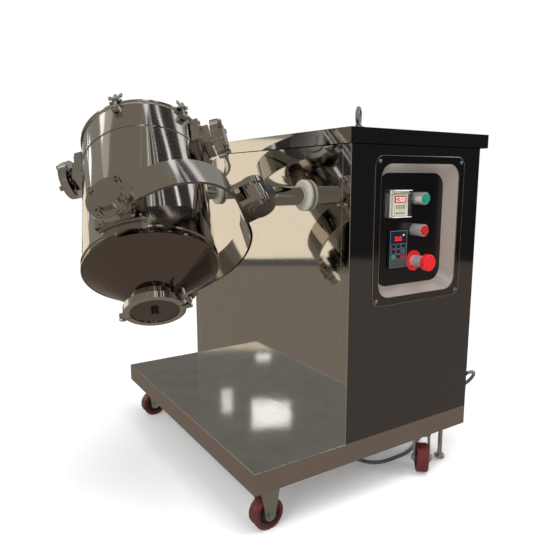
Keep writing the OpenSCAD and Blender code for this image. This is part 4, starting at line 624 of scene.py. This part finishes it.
def tray_edges(built):
    middle_x = (tray_low.x + tray_high.x) / 2 / MM + MID_X
    middle_z = (tray_low.z + tray_high.z) / 2 / MM
    wide, high = (tray_high.x - tray_low.x) / MM, (tray_high.z - tray_low.z) / MM
    front = tray_low.y / MM + MID_Y
    for margin, corner, radius, back in TRAY_BEADS:
        outline = rounded_outline(middle_x, middle_z, wide - 2 * margin, high - 2 * margin,
                                  corner, EDGE_CORNER_STEPS)
        round_bar(built, [at(x, front + back, z) for x, z in outline], radius * MM, Y_AXIS,
                  closed=True)


add_piece("deck_edges", deck_edges, "edge")
add_piece("upright_edges", upright_edges, "edge")
add_piece("tray_edges", tray_edges, "edge")
print("bright edges on deck, corners, seams and tray")

# %% [markdown]
# The timer's face has a dark red window with lit figures, a cream key row with dark strokes
# and a thin dark line of keys below. Its figures are seven-segment bars, which are small plates
# with an even glow, so they stay sharp at any size.

# %% Timer face
FINISH["window"] = finish("window_red", (0.10, 0.004, 0.006), 0, 0.15, 0.03, dust=0.0,
                          glow=(0.6, 0.02, 0.02), glow_strength=0.35)
FINISH["figure_hot"] = finish("figure_hot", (0.9, 0.35, 0.3), 0, 0.3, 0.03, dust=0.0,
                              glow=(1.0, 0.62, 0.55), glow_strength=1.6)
FINISH["figure_red"] = finish("figure_red", (0.7, 0.01, 0.02), 0, 0.3, 0.03, dust=0.0,
                              glow=(1.0, 0.02, 0.04), glow_strength=1.1)
FINISH["stroke"] = finish("stroke_dark", (0.05, 0.04, 0.035), 0, 0.4, 0.05, dust=0.05)
SEGMENTS = {"0": "abcdef", "1": "bc", "2": "abdeg", "3": "abcdg", "4": "bcfg", "5": "acdfg",
            "6": "acdefg", "7": "abc", "8": "abcdefg", "9": "abcdfg"}
FIGURE_THICK = 0.2
TIMER_X, TIMER_Z, TIMER_FRONT, TIMER_FIGURES = 173, 711, 24.0, "0308"
WINDOW_Z, WINDOW_SIZE, WINDOW_THICK, WINDOW_CORNER = TIMER_Z + 13.5, (37, 16), 0.6, 1.5
WINDOW_PROUD, FIGURES_PROUD, KEYS_PROUD = 0.5, 0.9, 0.35
TIMER_FIGURE = (5.6, 10.5, 2.2)  # width, height, gap
KEY_COLUMNS, KEY_PITCH, KEY_THICK = 4, 7.6, 0.4
# offset from the column's middle and from the timer's middle, width, height, corner radius
KEY_MARKS = [(-1.4, -4.5, 1.5, 9.5, 0), (1.6, -4.5, 1.2, 9.5, 0), (0, -19, 5.2, 3.2, 0.8)]


def figures(built, digits, x, z, wide, high, gap, front, bar=0.2):
    """Seven-segment figures: middle x, z, size of one, gap, front plane y, share of a bar."""
    thick = bar * wide
    side_x, side_high, end_z = (wide - thick) / 2, high / 2 - thick, (high - thick) / 2
    # offset from the figure's middle, width, height
    bars = {"a": (0, end_z, wide - thick, thick), "d": (0, -end_z, wide - thick, thick),
            "g": (0, 0, wide - thick, thick), "b": (side_x, high / 4, thick, side_high),
            "c": (side_x, -high / 4, thick, side_high),
            "f": (-side_x, high / 4, thick, side_high),
            "e": (-side_x, -high / 4, thick, side_high)}
    for place, digit in enumerate(digits):
        middle_x = x + (place - (len(digits) - 1) / 2) * (wide + gap)
        for name in SEGMENTS[digit]:
            dx, dz, bar_wide, bar_high = bars[name]
            front_plate(built, middle_x + dx, z + dz, bar_wide, bar_high, front, FIGURE_THICK)


def timer_window(built):
    front_plate(built, TIMER_X, WINDOW_Z, *WINDOW_SIZE, TIMER_FRONT - WINDOW_PROUD,
                WINDOW_THICK, WINDOW_CORNER)


def timer_figures(built):
    figures(built, TIMER_FIGURES, TIMER_X, WINDOW_Z, *TIMER_FIGURE,
            TIMER_FRONT - FIGURES_PROUD)


def timer_keys(built):
    for i in range(KEY_COLUMNS):
        x = TIMER_X + (i - (KEY_COLUMNS - 1) / 2) * KEY_PITCH
        for dx, dz, wide, high, corner in KEY_MARKS:
            front_plate(built, x + dx, TIMER_Z + dz, wide, high, TIMER_FRONT - KEYS_PROUD,
                        KEY_THICK, corner)


add_piece("timer_window", timer_window, "window", bevel=0.2)
add_piece("timer_figures", timer_figures, "figure_hot")
add_piece("timer_key_strokes", timer_keys, "stroke")
print("timer face made")

# %% [markdown]
# The top and bottom edges of the timer's clear cover are frosted white. Two narrow strips inside
# the clear walls stand for them, and they swing with the cover. They also glow faintly, a painted
# highlight on the frosted edges.

# %% Frosted edges of the timer cover
# painted highlight: the frosted strips glow faintly, though they are no lamp
FINISH["frosted"] = finish("frosted_edge", (0.92, 0.93, 0.93), 0, 0.35, 0.05, dust=0.0,
                           glow=(1, 1, 1), glow_strength=0.25)
FROST_OUTER, FROST_INNER, FROST_SIDES, FROST_DEEP = 0.35, 1.7, 1.6, 6.0
cover_low, cover_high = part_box("timer_cover")


def frosted_edges(built):
    x = (cover_low.x + cover_high.x) / 2 / MM + MID_X
    wide = (cover_high.x - cover_low.x) / MM - FROST_SIDES
    middle = (FROST_OUTER + FROST_INNER) / 2
    for z in (cover_high.z / MM - middle, cover_low.z / MM + middle):
        front_plate(built, x, z, wide, FROST_INNER - FROST_OUTER,
                    cover_low.y / MM + MID_Y + FROST_OUTER, FROST_DEEP)


add_piece("timer_cover_edges", frosted_edges, "frosted", body="timer_cover")
print("cover size", [round(v / MM, 1) for v in cover_high - cover_low])

# %% [markdown]
# The keypad is one glossy film over a shallow frame. A thin grey line runs round its edge, red
# figures and a white lamp shine through at the top, and nine soft keys stand just proud below
# them. The last row starts with the green key and ends with the red one.

# %% Keypad
FINISH["line"] = finish("keypad_line", (0.22, 0.23, 0.25), 0, 0.30, 0.05, dust=0.05)
for name, colour in (("key_grey", (0.17, 0.18, 0.20)), ("key_teal", (0.03, 0.12, 0.13)),
                     ("key_green", (0.03, 0.22, 0.15)), ("key_red", (0.26, 0.02, 0.03))):
    FINISH[name] = finish(name, colour, 0, 0.40, 0.06, dust=0.05)
FINISH["lamp"] = finish("lamp_white", (0.9, 0.9, 0.9), 0, 0.3, 0.03, dust=0.0,
                        glow=(1, 1, 1), glow_strength=1.4)
FINISH["foot_grey"] = finish("keypad_foot", (0.06, 0.062, 0.068), 0, 0.35, 0.06, dust=0.06)
PAD_X, PAD_Z, PAD_W, PAD_H, PAD_FRONT, PAD_FIGURES = 173, 606, 59, 92, 25.0, "050"
PAD_BORDER, LINE_WIDE, LINE_THICK = 4, 0.9, 0.3
LINE_PROUD, LIT_PROUD, FOOT_PROUD, RIM_PROUD, KEY_PROUD = 0.2, 0.25, 0.3, 0.4, 0.7
FIGURES_AT, PAD_FIGURE, PAD_FIGURE_BAR = (PAD_X - 1, PAD_Z + 25), (6.2, 9.5, 1.6), 0.24
LAMP_AT, LAMP_SIZE, LAMP_THICK, LAMP_CORNER = (PAD_X + 16, PAD_Z + 33), (3.2, 3.2), 0.3, 1.5
FOOT_AT, FOOT_SIZE, FOOT_THICK, FOOT_CORNER = (PAD_X, PAD_Z - 31), (PAD_W - 8, 22), 0.4, 2.0
KEY_W, KEY_H, KEY_CORNER, KEY_BACK = 12.5, 9.5, 2.0, 0.8
RIM_W, RIM_H = 14.2, 11.2
KEYS_TOP, KEY_STEP_X, KEY_STEP_Z = PAD_Z + 7, 16, 12.5


def frame_line(built, x, z, wide, high, front):
    """A thin square frame that faces the control side: middle x, z, size, front plane y."""
    for side in (-1, 1):
        front_plate(built, x + side * (wide - LINE_WIDE) / 2, z, LINE_WIDE, high, front,
                    LINE_THICK)
        front_plate(built, x, z + side * (high - LINE_WIDE) / 2, wide - 2 * LINE_WIDE,
                    LINE_WIDE, front, LINE_THICK)


def keypad_line(built):
    frame_line(built, PAD_X, PAD_Z, PAD_W - PAD_BORDER, PAD_H - PAD_BORDER,
               PAD_FRONT - LINE_PROUD)


def keypad_figures(built):
    figures(built, PAD_FIGURES, *FIGURES_AT, *PAD_FIGURE, PAD_FRONT - LIT_PROUD, PAD_FIGURE_BAR)


def keypad_lamp(built):
    front_plate(built, *LAMP_AT, *LAMP_SIZE, PAD_FRONT - LIT_PROUD, LAMP_THICK, LAMP_CORNER)


def keypad_foot(built):
    front_plate(built, *FOOT_AT, *FOOT_SIZE, PAD_FRONT - FOOT_PROUD, FOOT_THICK, FOOT_CORNER)


for maker, look, bevel in ((keypad_line, "line", 0), (keypad_figures, "figure_red", 0),
                           (keypad_lamp, "lamp", 0), (keypad_foot, "foot_grey", 0.15)):
    add_piece(maker.__name__, maker, look, bevel=bevel)
# the look of each key and of its rim, row by row from the top
GREY, DARK, TEAL = ("film", "key_grey"), ("film", "line"), ("key_teal", "key_teal")
GREEN, RED = ("key_green", "key_green"), ("key_red", "key_red")
KEY_LOOKS = [[GREY, GREY, DARK], [GREY, GREY, TEAL], [GREEN, GREY, RED]]
for row, looks in enumerate(KEY_LOOKS):
    for column, (key_look, rim_look) in enumerate(looks):
        x, z = PAD_X + (column - 1) * KEY_STEP_X, KEYS_TOP - row * KEY_STEP_Z

        def key(built, x=x, z=z):
            front_plate(built, x, z, KEY_W, KEY_H, PAD_FRONT - KEY_PROUD, KEY_BACK, KEY_CORNER)

        def key_rim(built, x=x, z=z):
            frame_line(built, x, z, RIM_W, RIM_H, PAD_FRONT - RIM_PROUD)

        add_piece(f"keypad_key_{row + 1}_{column + 1}", key, key_look,
                  bevel=0.2)
        add_piece(f"keypad_key_rim_{row + 1}_{column + 1}", key_rim, rim_look)
print("keypad made with", sum(len(looks) for looks in KEY_LOOKS), "keys")

# %% [markdown]
# The machine stands on a pale studio floor without an edge: it is plain paint near the object
# and fades out into the white world, so no horizon shows. It takes the soft shadow under the
# casters. A small glow that only the camera sees lifts it to the white of the world.

# %% Floor
FLOOR_SOLID, FLOOR_END, FLOOR_SPARE, FLOOR_SIDES, FLOOR_LIFT = 1.1, 3.2, 0.3, 96, 0.16


def build_floor():
    built = bmesh.new()
    bmesh.ops.create_circle(built, cap_ends=True, segments=FLOOR_SIDES,
                            radius=FLOOR_END + FLOOR_SPARE)
    mesh = bpy.data.meshes.new("studio_floor")
    built.to_mesh(mesh)
    built.free()
    floor = bpy.data.objects.new("studio_floor", mesh)
    bpy.context.scene.collection.objects.link(floor)
    look = bpy.data.materials.new("floor_paint")
    look.use_nodes = True
    tree = look.node_tree
    shader = tree.nodes["Principled BSDF"]
    shader.inputs["Base Color"].default_value = (0.88, 0.88, 0.88, 1)
    shader.inputs["Roughness"].default_value = 0.9
    shader.inputs["Specular IOR Level"].default_value = 0.0
    where = add_node(tree, "TexCoord")
    far = add_node(tree, "VectorMath", {0: where.outputs["Object"]}, operation="LENGTH")
    fade = add_node(tree, "MapRange", {"Value": far.outputs["Value"], "From Min": FLOOR_SOLID,
                                       "From Max": FLOOR_END}, interpolation_type="SMOOTHSTEP")
    nothing = add_node(tree, "BsdfTransparent")
    rays = add_node(tree, "LightPath")
    glow = add_node(tree, "Math", {0: rays.outputs["Is Camera Ray"], 1: FLOOR_LIFT},
                    operation="MULTIPLY")
    lift = add_node(tree, "Emission", {"Strength": glow.outputs[0]})
    lit = add_node(tree, "AddShader", {0: shader.outputs[0], 1: lift.outputs[0]})
    mixed = add_node(tree, "MixShader", {0: fade.outputs[0], 1: lit.outputs[0],
                                         2: nothing.outputs[0]})
    tree.links.new(mixed.outputs[0], tree.nodes["Material Output"].inputs["Surface"])
    mesh.materials.append(look)


build_floor()
print("floor ready")

# %% [markdown]
# The lamps are large and soft, and mirrors do not see them. The world is white where the camera
# or a mirror looks, and an even pale grey for the light that it gives.

# %% Studio light
scene = bpy.context.scene
scene.view_settings.view_transform = "Standard"
world = bpy.data.worlds.new("studio")
scene.world = world
world.use_nodes = True
world_tree = world.node_tree
background = world_tree.nodes["Background"]
background.inputs["Color"].default_value = (1, 1, 1, 1)
rays = add_node(world_tree, "LightPath")
seen = add_node(world_tree, "Math", {0: rays.outputs["Is Camera Ray"],
                                     1: rays.outputs["Is Transmission Ray"]},
                operation="MAXIMUM")
seen = add_node(world_tree, "Math", {0: seen.outputs[0], 1: rays.outputs["Is Glossy Ray"]},
                operation="MAXIMUM")
level = add_node(world_tree, "MapRange", {"Value": seen.outputs[0], "To Min": 0.6,
                                          "To Max": 1.0})
world_tree.links.new(level.outputs[0], background.inputs["Strength"])


def soft_lamp(name, place, target, wide, high, watts):
    data = bpy.data.lights.new(name, "AREA")
    data.shape = "RECTANGLE"
    data.size, data.size_y = wide, high
    data.energy = watts
    lamp = bpy.data.objects.new(name, data)
    lamp.location = place
    lamp.rotation_euler = (Vector(target) - Vector(place)).to_track_quat("-Z", "Y").to_euler()
    lamp.visible_glossy = False
    scene.collection.objects.link(lamp)


LAMPS = [
    # name, place, target, width, height, watts
    ("lamp_left", (-3.0, -1.8, 2.8), (-0.3, 0, 0.6), 1.6, 2.4, 75),
    ("lamp_top", (0.2, -0.6, 3.6), (0, 0, 0.5), 2.4, 2.4, 90),
    ("lamp_right", (2.8, -2.6, 2.4), (0.2, -0.3, 0.5), 0.8, 2.2, 35),
]
for lamp_row in LAMPS:
    soft_lamp(*lamp_row)
print("lamps set", len(LAMPS))

# %% [markdown]
# Polished steel shows only what stands round it. A photographer sets cards round such an object,
# so that its curves get dark and bright stripes. Here they stand in a ring several metres wide,
# and the tall ones bend inwards overhead: a brown ground, a warm wall on the far side, and a dark
# side behind the camera with a few bright strips. Only mirrors see them. The camera does not, and
# they light no rough surface.

# %% Cards for the mirrors
BEND_FROM, BEND_RISE, BEND_END = 3.4, 0.4, 0.25
DEGREES_PER_STEP = 5
GROUND_R, GROUND_Z, GROUND_SIDES = 4.6, 0.002, 36
GROUND_COLOUR = (0.225, 0.193, 0.162)


def mirror_card(name, corners, faces, colour):
    mesh = bpy.data.meshes.new(name)
    mesh.from_pydata(corners, [], faces)
    look = bpy.data.materials.new(name)
    look.use_nodes = True
    tree = look.node_tree
    tree.nodes.remove(tree.nodes["Principled BSDF"])
    flat = add_node(tree, "Emission", {"Color": (*colour, 1)})
    tree.links.new(flat.outputs[0], tree.nodes["Material Output"].inputs["Surface"])
    mesh.materials.append(look)
    card = bpy.data.objects.new(name, mesh)
    scene.collection.objects.link(card)
    card.visible_camera = card.visible_diffuse = card.visible_shadow = False
    card.visible_transmission = False


def bent_card(name, azimuth, width, distance, low, high, colour):
    """Azimuth from -Y towards -X and width in degrees. A tall card bends overhead."""
    steps = max(1, round(width / DEGREES_PER_STEP))
    angles = [math.radians(azimuth - width / 2 + width * i / steps) for i in range(steps + 1)]
    rows = [(distance, low), (distance, high)]
    if high >= BEND_FROM:
        rows.append((BEND_END, high + BEND_RISE))
    corners = [(-math.sin(a) * r, -math.cos(a) * r, z) for r, z in rows for a in angles]
    wide = len(angles)
    faces = [(row * wide + i, row * wide + i + 1, (row + 1) * wide + i + 1,
              (row + 1) * wide + i) for row in range(len(rows) - 1) for i in range(steps)]
    mirror_card(name, corners, faces, colour)


ground_turns = [2 * math.pi * i / GROUND_SIDES for i in range(GROUND_SIDES)]
ground = [(GROUND_R * math.cos(a), GROUND_R * math.sin(a), GROUND_Z) for a in ground_turns]
mirror_card("card_ground", ground, [tuple(range(GROUND_SIDES))], GROUND_COLOUR)
CARDS = [
    # azimuth, width, distance, low, high, colour
    (-64, 62, 4.5, 0.0, 3.4, (0.045, 0.043, 0.042)),
    (-27, 12, 4.5, 0.0, 3.4, (0.035, 0.034, 0.034)),
    (-17, 8, 4.5, 0.0, 3.4, (0.50, 0.49, 0.48)),
    (-4, 18, 4.5, 0.0, 3.4, (0.05, 0.048, 0.046)),
    (9, 8, 4.5, 0.0, 3.4, (0.50, 0.49, 0.47)),
    (16, 6, 4.5, 0.0, 3.4, (0.12, 0.11, 0.105)),
    (22, 6, 4.5, 0.0, 3.4, (0.90, 0.88, 0.85)),
    (28, 6, 4.5, 0.0, 3.4, (0.34, 0.32, 0.29)),
    (78, 94, 4.5, 0.0, 3.4, (0.205, 0.182, 0.145)),
    (146, 50, 3.4, 0.0, 1.12, (1.05, 0.92, 0.72)),
    (146, 50, 3.5, 1.1, 3.0, (0.27, 0.265, 0.24)),
    (146, 50, 3.5, 3.0, 3.4, (0.46, 0.44, 0.40)),
    (148, 6, 3.36, 1.62, 1.90, (1.9, 1.9, 1.85)),
    (149, 2.2, 3.36, 1.15, 1.24, (1.6, 1.6, 1.55)),
    (155, 1.6, 3.36, 1.50, 1.74, (1.4, 1.4, 1.35)),
    (-50, 44, 4.25, 2.2, 2.9, (1.1, 1.09, 1.06)),
    (146, 50, 3.35, 0.0, 0.07, (0.10, 0.09, 0.08)),
    (190, 38, 4.5, 0.0, 3.4, (0.18, 0.165, 0.145)),
    (235, 52, 4.5, 0.0, 3.4, (0.32, 0.30, 0.28)),
    (-32, 4, 4.3, 0.6, 3.4, (0.9, 0.9, 0.9)),
    (-70, 5, 4.3, 0.4, 3.4, (1.2, 1.18, 1.15)),
    (-96, 8, 4.3, 0.4, 3.4, (0.9, 0.88, 0.85)),
    (64, 3, 4.3, 0.0, 3.4, (0.30, 0.27, 0.23)),
    (133, 6, 3.3, 3.0, 3.4, (1.5, 1.48, 1.38)),
    (145, 4, 3.3, 3.0, 3.4, (0.10, 0.09, 0.08)),
    (152, 3, 3.3, 3.0, 3.4, (1.1, 1.08, 1.0)),
    (160, 5, 3.3, 3.0, 3.4, (0.12, 0.11, 0.10)),
    (178, 4, 4.3, 0.3, 3.4, (1.2, 1.18, 1.12)),
]
for number, card_row in enumerate(CARDS, 1):
    bent_card(f"card_{number}", *card_row)
print("cards for the mirrors", len(CARDS) + 1)

# %% Update the scene
bpy.context.view_layer.update()
